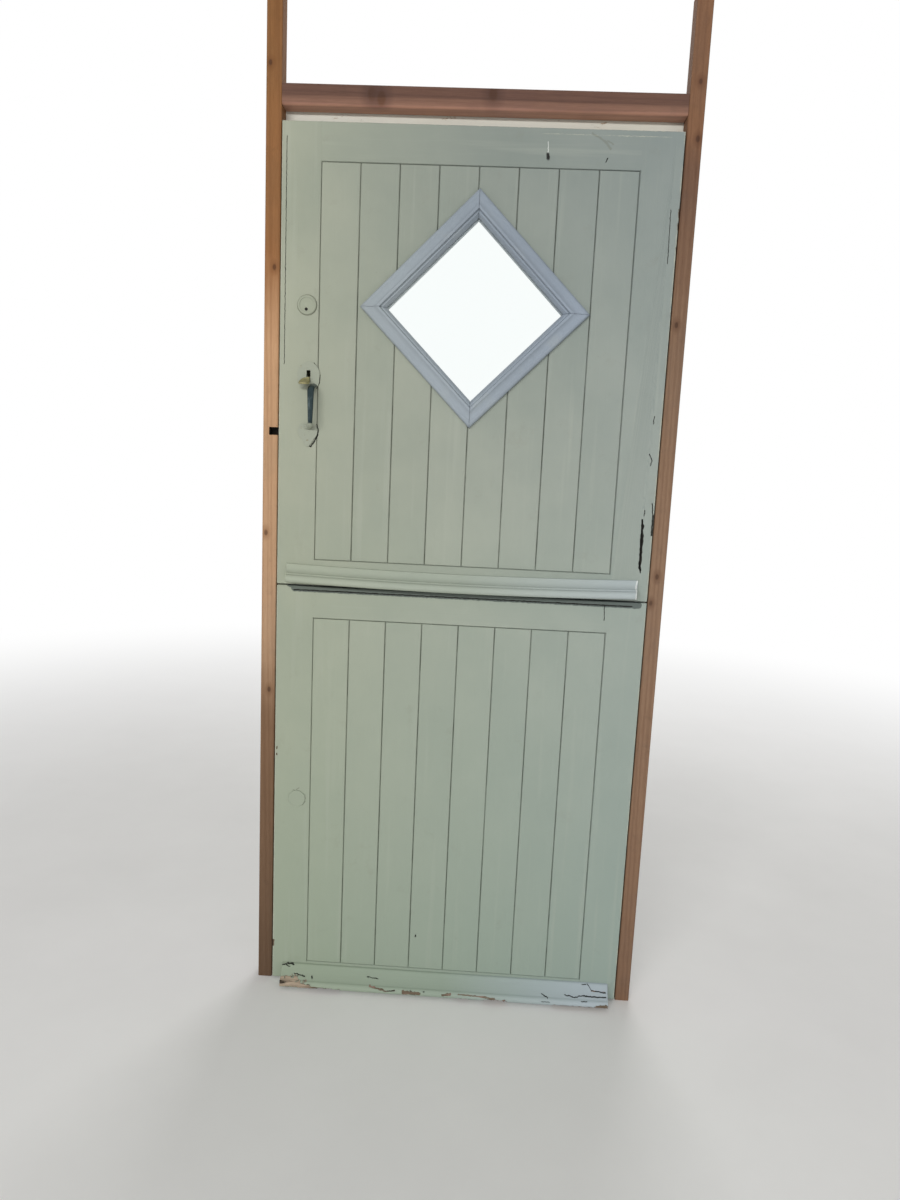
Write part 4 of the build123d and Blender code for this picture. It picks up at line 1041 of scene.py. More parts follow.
def eased(node: str, ease: float, slot: str, finish: Finish, rim: Rim | None = None,
          tone: float | None = None) -> bpy.types.Object:
    """Redraws one solid with its sharp edges eased, as worn or thickly painted edges are.

    Args:
        node: the solid's name.
        ease: width of the eased edge in mm.
        slot: the record's material slot.
        finish: the piece's finish.
        rim: outline whose edges are rounder, if there is one.
        tone: which stretch of the finish's pattern it shows.

    Returns:
        The piece that stands for the solid.
    """
    source = frame["nodes"][node]
    shape = bmesh.new()
    shape.from_mesh(source.data)
    bmesh.ops.remove_doubles(shape, verts=shape.verts, dist=WELD)
    bmesh.ops.dissolve_limit(shape, angle_limit=math.radians(FLAT_ANGLE), verts=shape.verts,
                             edges=shape.edges)
    if rim is not None:
        outer = [edge for edge in crisp_edges(shape, TIMBER_ANGLE) if rim.holds(edge)]
        ease_edges(shape, outer, rim.ease)
    if ease:
        ease_edges(shape, crisp_edges(shape, EASE_ANGLE if rim is None else TIMBER_ANGLE), ease)
    bmesh.ops.triangulate(shape, faces=[face for face in shape.faces if len(face.verts) > 4])
    obj = make_object(f"{node}_finished", shape, SMOOTH_ANGLE)
    weigh_normals(obj)
    return settle(obj, source["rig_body"], slot, finish, node, tone=tone)


def weigh_normals(obj: bpy.types.Object) -> None:
    """Keeps the broad faces of a piece looking flat beside their rounded edges."""
    obj.modifiers.new("weighted", "WEIGHTED_NORMAL").keep_sharp = True


def held_share(part: float, whole: float) -> float:
    """Share of a distance that is covered, held between 0 and 1."""
    return min(1.0, max(0.0, part / whole))


def join_rings(shape: bmesh.types.BMesh, rings: list[Ring]) -> None:
    """Joins closed rings of points with bands of four-sided faces.

    Args:
        shape: the bmesh that holds them.
        rings: the rings in order, each with as many points as the next.
    """
    for first, second in zip(rings, rings[1:]):
        for a, b, c, d in zip(first, first[1:] + first[:1], second[1:] + second[:1], second):
            shape.faces.new((a, b, c, d))


def turned(name: str, profile: Iterable[Point2], centre: Point3, turn: Matrix, steps: int = 48
           ) -> bpy.types.Object:
    """A round piece: the profile is radius and height in mm about the local Z axis.

    Args:
        name: the piece's name.
        profile: radius and height pairs in mm, from the axis outwards and back to it.
        centre: where the local origin goes.
        turn: rotation of the local axes.
        steps: facets round the piece.

    Returns:
        The new object.
    """
    shape = bmesh.new()
    rings = []
    for radius, height in profile:
        if radius == 0.0:
            rings.append([shape.verts.new((0.0, 0.0, height * MM))])
            continue
        ring = []
        for step in range(steps):
            angle = 2.0 * math.pi * step / steps
            x, y = radius * MM * math.cos(angle), radius * MM * math.sin(angle)
            ring.append(shape.verts.new((x, y, height * MM)))
        rings.append(ring)
    for low, high in zip(rings, rings[1:]):
        for step in range(steps):
            after = (step + 1) % steps
            corners = [low[step % len(low)], low[after % len(low)], high[after % len(high)],
                       high[step % len(high)]]
            shape.faces.new(list(dict.fromkeys(corners)))
    move = Matrix.Translation(centre) @ turn.to_4x4()
    bmesh.ops.transform(shape, matrix=move, verts=shape.verts)
    return make_object(name, shape)


FACING_OUT = Matrix.Rotation(math.radians(90.0), 3, "X")
FACING_IN = Matrix.Rotation(math.radians(-90.0), 3, "X")
FACING_RIGHT = Matrix.Rotation(math.radians(90.0), 3, "Y")
FACING_LEFT = Matrix.Rotation(math.radians(-90.0), 3, "Y")


SLOT_SHARE = 0.14        # half a screw's slot, as a share of the head's radius
CROWN_SHARE = 0.82       # how far out the head's flat top reaches
CROWN_RISE = 0.35        # mm that the top stands over the rim
SLOT_DEPTH = 1.2         # mm from the rim to the slot's floor
BED_DEPTH = 0.5          # mm from the rim to the disc that closes the slot
HALF_STEPS = 14          # facets round half a head
BED_STEPS = 24           # facets round that disc


def screw_heads(name: str, places: list[Point3], facing: Matrix, radius: float, body: str,
                slot: str, finish: Finish) -> bpy.types.Object:
    """Slotted countersunk screw heads, each turned its own way, as one piece.

    Args:
        name: the piece's name.
        places: middles of the heads, on the surface that they are driven into.
        facing: rotation that points a head away from that surface.
        radius: radius of a head in mm.
        body: the body that they ride on.
        slot: the record's material slot.
        finish: their finish.

    Returns:
        The piece.
    """
    chance = random.Random(name)
    shape = bmesh.new()
    half_slot = SLOT_SHARE * radius
    start = math.asin(half_slot / radius)
    sweep = math.pi - 2.0 * start
    angles = [start + sweep * step / HALF_STEPS for step in range(HALF_STEPS + 1)]
    for place in places:
        spin = Matrix.Rotation(chance.uniform(0.0, math.pi), 3, "Z")
        move = Matrix.Translation(place) @ (facing @ spin).to_4x4()
        for side in (-1.0, 1.0):
            rim = [Vector((radius * math.cos(a), side * radius * math.sin(a), 0.0)) for a in angles]
            crown = [Vector((CROWN_SHARE * p.x, side * max(half_slot, CROWN_SHARE * abs(p.y)),
                             CROWN_RISE)) for p in rim]
            floor = [Vector((p.x, p.y, -SLOT_DEPTH)) for p in rim]
            sheets = [[shape.verts.new(move @ (p * MM)) for p in line]
                      for line in (floor, rim, crown)]
            for low, high in zip(sheets, sheets[1:]):
                for a, b, c, d in zip(low, low[1:], high[1:], high):
                    shape.faces.new((a, b, c, d))
            shape.faces.new(sheets[2])
            shape.faces.new((sheets[2][0], sheets[1][0], sheets[0][0], sheets[0][-1], sheets[1][-1],
                             sheets[2][-1]))
        turns = (2.0 * math.pi * step / BED_STEPS for step in range(BED_STEPS))
        bed = [Vector((radius * math.cos(a), radius * math.sin(a), -BED_DEPTH)) for a in turns]
        shape.faces.new([shape.verts.new(move @ (p * MM)) for p in bed])
    return settle(make_object(name, shape, 30.0), body, slot, finish)


# The leaves' framing and boards


@dataclass
class Leaf:
    """Framing, matchboards and bracing of one leaf."""

    name: str
    upright: tuple[str, ...]
    level: tuple[str, ...]
    sloping: tuple[str, ...] = ()
    board_count: int = 8
    joint_ease: float = 0.0
    joint_depth: float = 2.0
    joint_overlap: float = 0.02
    rim_ease: float = 1.8
    board_ease: float = 1.1
    frame_tone: float = 0.5

    def build(self) -> None:
        """Redraws each timber of the leaf with painted edges."""
        up = SagePaint(f"sage_{self.name}_upright", Grain.UP, marks=marks_near(self.upright))
        level = SagePaint(f"sage_{self.name}_level", Grain.ACROSS, marks=marks_near(self.level))
        panel = [f"{self.name}_board_{number}" for number in range(1, self.board_count + 1)]
        first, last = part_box(panel[0])[0].x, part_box(panel[-1])[1].x
        pitch = (last - first) / self.board_count
        boards = SagePaint(f"sage_{self.name}_boards", Grain.UP, joint_pitch=pitch,
                           joint_start=first, marks=marks_near(panel))
        rim = Rim(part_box(f"{self.name}_left_stile")[0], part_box(f"{self.name}_lipping")[1],
                  self.rim_ease)
        for part in self.upright:
            eased(part, self.joint_ease, "sage_paint", up, rim, self.frame_tone)
        for part in self.level:
            eased(part, self.joint_ease, "sage_paint", level, rim, self.frame_tone)
        for part in self.sloping:
            eased(part, self.board_ease, "sage_paint", SagePaint("sage_sloping", Grain.SLOPING))
        for board in panel:
            eased(board, self.board_ease, "sage_paint", boards)
        self.close_joints(up)

    def close_joints(self, finish: Finish) -> None:
        """Fills the V between stile and rail, which old paint has closed.

        Args:
            finish: the paint of the stiles.
        """
        shape = bmesh.new()
        depth = self.joint_depth * MM
        over = self.joint_overlap
        corners = ((-over, 0.0), (1.0 + over, 0.0), (-over, 1.0 + over))
        for node in self.level:
            if not node.endswith("rail"):
                continue
            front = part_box(node)[0].y
            face = [vert.co for vert in frame["nodes"][node].data.vertices
                    if vert.co.y < front + 0.5 * MM]
            foot, top = (pick(co.z for co in face) for pick in (min, max))
            for edge, way in ((min(co.x for co in face), -1.0), (max(co.x for co in face), 1.0)):
                line = [(edge + x * way * depth, front + y * depth) for x, y in corners]
                lower, upper = ([shape.verts.new((x, y, height)) for x, y in line]
                                for height in (foot, top))
                join_rings(shape, [lower, upper])
                shape.faces.new(lower)
                shape.faces.new(upper)
        settle(make_object(f"{self.name}_joint_paint", shape), f"{self.name}_leaf", "sage_paint",
               finish, tone=self.frame_tone)


@dataclass
class Split:
    """The ragged split beside the hinge edge of the upper leaf, carved into its stile.

    The outline holds height, left and right in mm from the leaf's latch edge and foot.
    """

    node: str = "upper_right_stile"
    depth: float = 7.0
    spread: float = 0.7
    half_root: float = 0.4
    proud: float = 1.0
    outline: tuple[Point3, ...] = (
        (1176, 821.6, 823.6), (1172, 821.0, 824.3), (1166, 821.6, 825.0), (1161, 821.0, 828.2),
        (1157, 821.6, 827.6), (1152, 821.8, 825.6), (1145, 822.2, 826.6), (1139, 821.2, 828.8),
        (1133, 821.4, 828.2), (1127, 821.0, 829.0), (1121, 821.6, 828.6), (1114, 822.4, 827.4),
        (1108, 821.6, 827.8), (1102, 822.6, 828.6), (1096, 822.0, 827.4), (1090, 823.0, 828.4),
        (1084, 822.8, 829.0), (1077, 821.8, 828.2), (1071, 822.8, 826.8), (1066, 822.4, 828.4),
        (1061, 825.4, 829.0), (1057, 826.6, 828.2), (1054, 827.4, 828.0))

    def carve(self) -> None:
        """Cuts the split out of the stile's front."""
        target = bpy.data.objects[f"{self.node}_finished"]
        target.modifiers.clear()
        cutter = self.cutter(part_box(self.node)[0].y)
        cut = target.modifiers.new("split", "BOOLEAN")
        cut.operation = "DIFFERENCE"
        cut.solver = "EXACT"
        cut.material_mode = "TRANSFER"
        cut.object = cutter
        carved = bpy.data.meshes.new_from_object(
            target.evaluated_get(bpy.context.evaluated_depsgraph_get()))
        target.modifiers.clear()
        target.data = carved
        bpy.data.objects.remove(cutter)
        weigh_normals(target)

    def cutter(self, front: float) -> bpy.types.Object:
        """Draws the wedge that is cut away.

        Args:
            front: the stile's front in metres.

        Returns:
            The wedge.
        """
        shape = bmesh.new()
        rings = []
        for height, left, right in self.outline:
            middle = (left + right) / 2.0
            left, right = left - self.spread, right + self.spread
            corners = ((left, -self.proud), (right, -self.proud),
                       (middle + self.half_root, self.depth), (middle - self.half_root, self.depth))
            rings.append([shape.verts.new((door_point((x, 0.0))[0], front + y * MM,
                                           door_point((0.0, height))[2])) for x, y in corners])
        join_rings(shape, rings)
        shape.faces.new(rings[0])
        shape.faces.new(rings[-1])
        cutter = make_object("split_cutter", shape)
        # The split's cut faces take this near-black: painted shade inside it
        cutter.data.materials.append(FINISHES.get(HOLE_SHADE))
        return cutter


# Weatherboards


@dataclass(frozen=True)
class Tear:
    """A place where a weatherboard's paint has come away, in mm from its left end and foot."""

    start: Point2
    end: Point2
    width: float
    depth: float = 0.7


@dataclass
class Weatherboard:
    """A weatherboard drawn finely enough for its worn edges, in mm about its own foot."""

    node: str
    step: float
    bow: float
    nose_radius: float = 9.0
    top_width: float = 5.0
    cove_sag: float = 2.0
    drip: float = 5.0
    drip_depth: float = 4.0
    drip_from_nose: float = 14.0
    end_round: float = 1.2
    cove_steps: int = 16
    nose_steps: int = 20
    station: float = 1.7
    splay: float = 8.0
    shift: float = 0.0
    tears: tuple[Tear, ...] = ()

    def outline(self, reach: float, height: float) -> list[Point2]:
        """Section of the board as depth and height pairs, from the back's head round to its foot.

        Args:
            reach: how far the nose stands out.
            height: height of the board.

        Returns:
            The section's points, with depth negative towards the weather.
        """
        nose = -(reach - self.nose_radius)
        nose_top = 2.0 * self.nose_radius
        cove = (nose + self.step, nose_top + self.step)
        top = (-self.top_width, height)
        middle = ((cove[0] - self.top_width) / 2.0 + self.step,
                  (cove[1] + height) / 2.0 - 2.0 * self.step - self.cove_sag)
        points = [(0.0, height), (-0.7 * self.top_width, height), (-self.top_width, height - 0.5)]
        points += arc_points(top, middle, cove, self.cove_steps)[1:]
        if self.step:
            points += [(cove[0], nose_top + 0.4 * self.step), (cove[0], nose_top),
                       (nose + 0.4 * self.step, nose_top), (nose, nose_top)]
        points += arc_points((nose, nose_top), (-reach, self.nose_radius), (nose, 0.0),
                             self.nose_steps)[1:]
        drip_front = -(reach - self.drip_from_nose)
        drip_back = drip_front + self.drip
        points += [(drip_front, 0.0), (drip_front, self.drip_depth),
                   (drip_back, self.drip_depth), (drip_back, 0.0), (0.0, 0.0)]
        return points

    def build(self, finish: Finish) -> bpy.types.Object:
        """Draws the board station by station and wears its face.

        Args:
            finish: the paint.

        Returns:
            The piece that stands for the solid.
        """
        low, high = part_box(self.node)
        reach = (high.y - low.y) / MM
        height = (high.z - low.z) / MM - self.bow
        length = (high.x - low.x) / MM
        section = self.outline(reach, height)
        count = int(length / self.station)
        ends = [0.0, 0.3 * self.end_round, self.end_round]
        places = ends[:2] + [ends[2] + (length - 2.0 * ends[2]) * step / count
                             for step in range(count + 1)] + [length - end for end in ends[1::-1]]
        shape = bmesh.new()
        bare: list[float] = []
        rows = []
        for along in places:
            aside = 2.0 * along / length - 1.0
            lift = self.bow * aside ** 2
            from_end = min(along, length - along)
            ease = 0.6 * self.end_round * max(0.0, 1.0 - from_end / self.end_round) ** 2
            row = []
            for depth, rise in section:
                sunk, gone = self.wear(along, depth, rise, reach)
                out = min(0.0, depth + sunk + (ease if depth < -0.5 else 0.0))
                up = (rise + 0.5 * sunk * (1.0 - rise / height)
                      + (ease if rise < 0.5 * height else -ease))
                across = along + self.shift + self.splay * (depth / reach) * aside
                row.append(shape.verts.new((low.x + across * MM, high.y + out * MM,
                                            low.z + (lift + up) * MM)))
                bare.append(gone)
            rows.append(row)
        join_rings(shape, rows)
        shape.faces.new(rows[0])
        shape.faces.new(rows[-1])
        obj = make_object(f"{self.node}_worn", shape, 32.0)
        give_number(obj.data, "bare", bare)
        return settle(obj, frame["nodes"][self.node]["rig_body"], "sage_paint", finish, self.node)

    def wear(self, along: float, depth: float, rise: float, reach: float) -> tuple[float, float]:
        """How far a point of the board is worn.

        Args:
            along: mm from the left end.
            depth: mm from the back, negative towards the weather.
            rise: mm above the foot.
            reach: how far the nose stands out.

        Returns:
            Wood and paint missing in mm, and how surely the paint is gone, from 0 to 1.
        """
        if depth > -0.35 * reach:
            return 0.0, 0.0
        sunk = 0.0
        gone = 0.0
        ragged = noise.noise(Vector((along * 0.16, rise * 0.45, 3.7)))
        ragged += 0.6 * noise.noise(Vector((along * 0.5, rise * 1.1, 9.1)))
        for tear in self.tears:
            start, end = Vector(tear.start), Vector(tear.end)
            line = end - start
            place = Vector((along, rise)) - start
            share = max(0.0, min(1.0, place.dot(line) / max(line.length_squared, 1e-9)))
            away = (place - share * line).length / tear.width + 0.8 * ragged
            gone = max(gone, min(1.0, 1.0 - 0.5 * away))
            sunk = max(sunk, tear.depth * max(0.0, min(1.0, 2.2 - 2.0 * away)))
        return sunk, max(0.0, gone)


def arc_points(start: Point2, middle: Point2, end: Point2, steps: int) -> list[Point2]:
    """Points along the arc through three points.

    Args:
        start: where the arc starts.
        middle: a point that it passes.
        end: where it ends.
        steps: how many chords it is drawn with.

    Returns:
        The points in order, both ends included.
    """
    ax, ay = start
    bx, by = middle
    cx, cy = end
    area = 2.0 * (ax * (by - cy) + bx * (cy - ay) + cx * (ay - by))
    ux = ((ax * ax + ay * ay) * (by - cy) + (bx * bx + by * by) * (cy - ay)
          + (cx * cx + cy * cy) * (ay - by)) / area
    uy = ((ax * ax + ay * ay) * (cx - bx) + (bx * bx + by * by) * (ax - cx)
          + (cx * cx + cy * cy) * (bx - ax)) / area
    radius = math.hypot(ax - ux, ay - uy)
    first = math.atan2(ay - uy, ax - ux)
    via = (math.atan2(by - uy, bx - ux) - first) % (2.0 * math.pi)
    sweep = (math.atan2(cy - uy, cx - ux) - first) % (2.0 * math.pi)
    if via > sweep:
        sweep -= 2.0 * math.pi
    return [(ux + radius * math.cos(first + sweep * step / steps),
             uy + radius * math.sin(first + sweep * step / steps)) for step in range(steps + 1)]


# The diamond window


@dataclass
class DiamondWindow:
    """Lining, mouldings and glass of the diamond window."""

    ease: float = 0.7

    def build(self) -> None:
        """Redraws the mitred frame and dresses the glass."""
        # The moulding's paint is bluer than the door's: a painted bluish sheen of daylight
        paint = SagePaint("sage_moulding", Grain.SLOPING, light=(0.375, 0.425, 0.469),
                          deep=(0.325, 0.369, 0.412), green=(0.354, 0.412, 0.45), relief=0.7)
        # The lining and back moulding are painted pale: painted light where daylight through the
        # window falls
        inside = SagePaint("pale_lining", Grain.SLOPING, light=(0.74, 0.80, 0.83),
                           deep=(0.68, 0.75, 0.79), green=(0.72, 0.78, 0.81), relief=0.7)
        eased("window_lining", self.ease, "sage_paint", inside)
        eased("window_moulding", self.ease, "moulding_paint", paint)
        eased("window_back_moulding", self.ease, "sage_paint", inside)
        glass = frame["nodes"]["window_glass"]
        glass.data.materials.clear()
        glass.data.materials.append(FINISHES.get(WINDOW_GLASS))


# The frame round the leaves


@dataclass
class DoorFrame:
    """Posts, head rail and lath.

    A knot is so many mm from the post's left side and metres above its foot. The socket's
    sizes, which bound its painted shade, are mm from the left post's left side, its front and
    its right side. On the head rail the painted light on the underside runs so many mm up the
    face, and the line below which the face is painted paler lies at a share of the rail's height.
    """

    ease: float = 0.8
    left_knots: tuple[Point2, ...] = ((9, 2.1), (22, 1.69), (9, 1.11), (20, 0.74))
    right_knots: tuple[Point2, ...] = ((20, 2.085), (24, 1.975), (12, 1.6), (16, 1.052), (7, 0.991))
    head_knots: tuple[Point2, ...] = ((-0.235, 0.018), (-0.215, 0.026), (0.02, 0.012))
    socket_inset: float = 4.0
    socket_lip: float = 1.0
    socket_depth: float = 30.0
    socket_foot: float = 1.3305
    socket_top: float = 1.3475
    paint_lap: float = 5.0
    paint_line: float = 0.42
    paint_blend: float = 2.0

    def build(self) -> None:
        """Redraws the frame's timbers."""
        eased("left_post", self.ease, "bare_pine", self.left_pine())
        eased("right_post", self.ease, "bare_pine", self.right_pine())
        eased("head_rail", self.ease, "stained_softwood", self.head_wood())
        eased("head_lath", self.ease, "white_paint", LATH_WHITE)

    def placed(self, node: str, knots: tuple[Point2, ...]) -> tuple[Point3, ...]:
        """Sets a post's knots on its front.

        Args:
            node: the post.
            knots: mm from its left side and metres above its foot.

        Returns:
            Their middles in metres.
        """
        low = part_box(node)[0]
        return tuple((low.x + aside * MM, low.y, height) for aside, height in knots)

    def left_pine(self) -> Pine:
        """Pine of the left post, painted light and shade up it and painted shade in its socket.

        Returns:
            The finish.
        """
        low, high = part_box("left_post")
        socket = ((low.x + self.socket_inset * MM, low.y + self.socket_lip * MM, self.socket_foot),
                  (high.x + self.socket_lip * MM, low.y + self.socket_depth * MM, self.socket_top))
        return Pine("left_post_pine", Grain.UP, pale=(0.55, 0.33, 0.19), band=(0.36, 0.19, 0.095),
                    weathered=(0.36, 0.24, 0.15), knots=self.placed("left_post", self.left_knots),
                    shades=((0.1, (0.22, 0.21, 0.2)), (0.65, (0.36, 0.34, 0.32)),
                            (0.85, (0.82, 0.86, 0.9)), (1.5, (0.95, 0.93, 0.88)),
                            (1.72, (0.52, 0.39, 0.25)), (2.2, (0.4, 0.3, 0.17))),
                    shaded_hollow=socket)

    def right_pine(self) -> Pine:
        """Pine of the right post, with painted light and shade and weathering up its height.

        Returns:
            The finish.
        """
        return Pine("right_post_pine", Grain.UP, pale=(0.42, 0.235, 0.13), band=(0.25, 0.12, 0.062),
                    weathered=(0.25, 0.16, 0.11), knots=self.placed("right_post", self.right_knots),
                    shades=((0.0, (0.5, 0.5, 0.52)), (0.9, (0.62, 0.68, 0.76)),
                            (1.5, (0.55, 0.6, 0.66)), (1.9, (0.36, 0.34, 0.36)),
                            (2.0, (0.5, 0.44, 0.4))))

    def head_wood(self) -> Pine:
        """Stained head rail wood with painted light: paler low on its face, palest on its
        underside.

        Returns:
            The finish.
        """
        low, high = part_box("head_rail")
        foot, top = low.z, high.z
        line = foot + self.paint_line * (top - foot)
        blend = self.paint_blend * MM
        return Pine("head_wood", Grain.ACROSS, pale=(0.20, 0.105, 0.075), band=(0.11, 0.055, 0.042),
                    weathered=(0.16, 0.085, 0.07), figure=0.35, knot_width=22.0,
                    knots=tuple((x, low.y, top - drop) for x, drop in self.head_knots),
                    # Painted light: the underside and the face's lower part paler, as lit from
                    # below
                    shades=((foot, (2.6, 2.6, 2.5)),
                            (foot + self.paint_lap * MM, (1.2, 1.2, 1.15)),
                            (line - blend, (0.95, 0.95, 0.9)), (line + blend, (0.6, 0.58, 0.56)),
                            (top, (0.66, 0.64, 0.62))),
                    shade_sway=0.003)


# Ironmongery


@dataclass
class Hinges:
    """Butt hinges with their pins and screws, in mm about each hinge's middle."""

    plate_ease: float = 0.35
    pin_ease: float = 0.5
    half_height: float = 51.0
    screw_radius: float = 3.6
    screw_heights: tuple[float, ...] = (-40.0, -14.0, 14.0, 40.0)
    screw_depths: Point2 = (9.0, 21.0)

    def build(self) -> None:
        """Redraws the plates and pins and drives the screws."""
        for node in ("post_hinge_plates", "upper_hinge_plates", "lower_hinge_plates"):
            eased(node, self.plate_ease, "hinge_steel", HINGE_STEEL)
        eased("hinge_pins", self.pin_ease, "hinge_steel", HINGE_STEEL)
        middles = self.middles()
        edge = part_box("upper_lipping")[1].x
        for body, places in (("upper_leaf", middles[:2]), ("lower_leaf", middles[2:])):
            screw_heads(f"{body}_hinge_screws", self.spots(edge, places), FACING_RIGHT,
                        self.screw_radius, body, "hinge_steel", HINGE_STEEL)
        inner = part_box("right_post")[0].x
        screw_heads("post_hinge_screws", self.spots(inner, middles), FACING_LEFT,
                    self.screw_radius, "frame", "hinge_steel", HINGE_STEEL)

    def spots(self, side: float, middles: list[float]) -> list[Point3]:
        """Places the screws of some hinges, in two staggered rows.

        Args:
            side: where the plates' face lies, in metres across the door.
            middles: heights of the hinges' middles.

        Returns:
            The middles of the screw heads.
        """
        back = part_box("right_post")[1].y
        rows = [back - depth * MM for depth in self.screw_depths]
        return [(side, rows[index % 2], middle + height * MM)
                for middle in middles for index, height in enumerate(self.screw_heights)]

    def middles(self) -> list[float]:
        """Heights of the four hinges' middles.

        Returns:
            The heights in metres, from the top down.
        """
        pairs = []
        for node in ("upper_hinge_plates", "lower_hinge_plates"):
            low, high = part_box(node)
            half = self.half_height * MM
            pairs += [high.z - half, low.z + half]
        return pairs


@dataclass
class RimLock:
    """Rim cylinder outside, nightlatch and keep inside, in mm.

    A section is pairs of radius and height. The radius of the ring painted as the shadow in the
    gap round the cylinder counts from the cylinder's own, and the keyway's place from its middle.
    """

    ease: float = 0.6
    ring_ease: float = 0.4
    bolt_ease: float = 0.5
    screw_radius: float = 3.4
    screw_inset: float = 9.0
    keep_screw_inset: float = 12.0
    screw_sink: float = 0.1
    dish: float = 1.6
    plug: tuple[Point2, ...] = ((0.0, -1.0), (9.6, -1.0), (9.6, 0.1), (9.0, 0.5), (0.0, 0.7))
    keyway: tuple[Point2, ...] = ((0.0, -1.0), (3.4, -1.0), (3.4, 1.3), (2.9, 1.7), (0.0, 1.7))
    keyway_place: Point2 = (-1.2, -9.4)
    keyway_steps: int = 24
    # Dark ring painted round the cylinder: a painted shadow in the gap at its edge
    dirt: tuple[Point2, ...] = ((-0.4, -0.4), (-0.2, 0.3), (0.9, 0.3), (1.3, -0.4), (-0.4, -0.4))

    def build(self) -> None:
        """Redraws the lock's parts and drives its screws."""
        self.dress_cylinder()
        for node in ("nightlatch_case", "nightlatch_keep"):
            eased(node, self.ease, "case_enamel", CASE_ENAMEL)
        eased("nightlatch_bolt", self.bolt_ease, "worn_brass", WORN_BRASS)
        eased("nightlatch_knob", self.ease, "worn_brass", WORN_BRASS)
        inset = self.screw_inset * MM
        low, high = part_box("nightlatch_case")
        spots = [(x, high.y - self.screw_sink * MM, z) for x in (low.x + inset, high.x - inset)
                 for z in (low.z + inset, high.z - inset)]
        screw_heads("nightlatch_screws", spots, FACING_IN, self.screw_radius, "upper_leaf",
                    "worn_brass", WORN_BRASS)
        low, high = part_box("nightlatch_keep")
        spots = [(low.x + self.keep_screw_inset * MM, high.y - self.screw_sink * MM, z)
                 for z in (low.z + inset, high.z - inset)]
        screw_heads("nightlatch_keep_screws", spots, FACING_IN, self.screw_radius, "frame",
                    "worn_brass", WORN_BRASS)

    def dress_cylinder(self) -> None:
        """Paints over the plug and paints shade into its keyway and a shadow round its edge."""
        paint = SagePaint("sage_fittings", Grain.ACROSS, relief=0.6, light=(0.40, 0.43, 0.35))
        eased("rim_cylinder", self.ring_ease, "sage_paint", paint)
        low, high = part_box("rim_cylinder")
        middle = (low + high) / 2.0
        face = low.y + self.dish * MM
        plug = turned("cylinder_plug_paint", self.plug, (middle.x, face, middle.z), FACING_OUT)
        settle(plug, "upper_leaf", "sage_paint", paint)
        radius = 0.5 * (high.x - low.x) / MM
        # Painted shadow in the gap round the cylinder's edge
        ring = turned("cylinder_edge_dirt", [(radius + out, height) for out, height in self.dirt],
                      (middle.x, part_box("upper_left_stile")[0].y, middle.z), FACING_OUT)
        grime = SagePaint("sage_dirt", Grain.UP, light=(0.17, 0.175, 0.14),
                          deep=(0.14, 0.145, 0.12))
        settle(ring, "upper_leaf", "sage_paint", grime)
        # Near-black disc: painted shade in the keyway
        aside, below = self.keyway_place
        keyway = turned("cylinder_keyway", self.keyway,
                        (middle.x + aside * MM, face, middle.z + below * MM), FACING_OUT,
                        self.keyway_steps)
        settle(keyway, "upper_leaf", "black_iron", HOLE_SHADE)


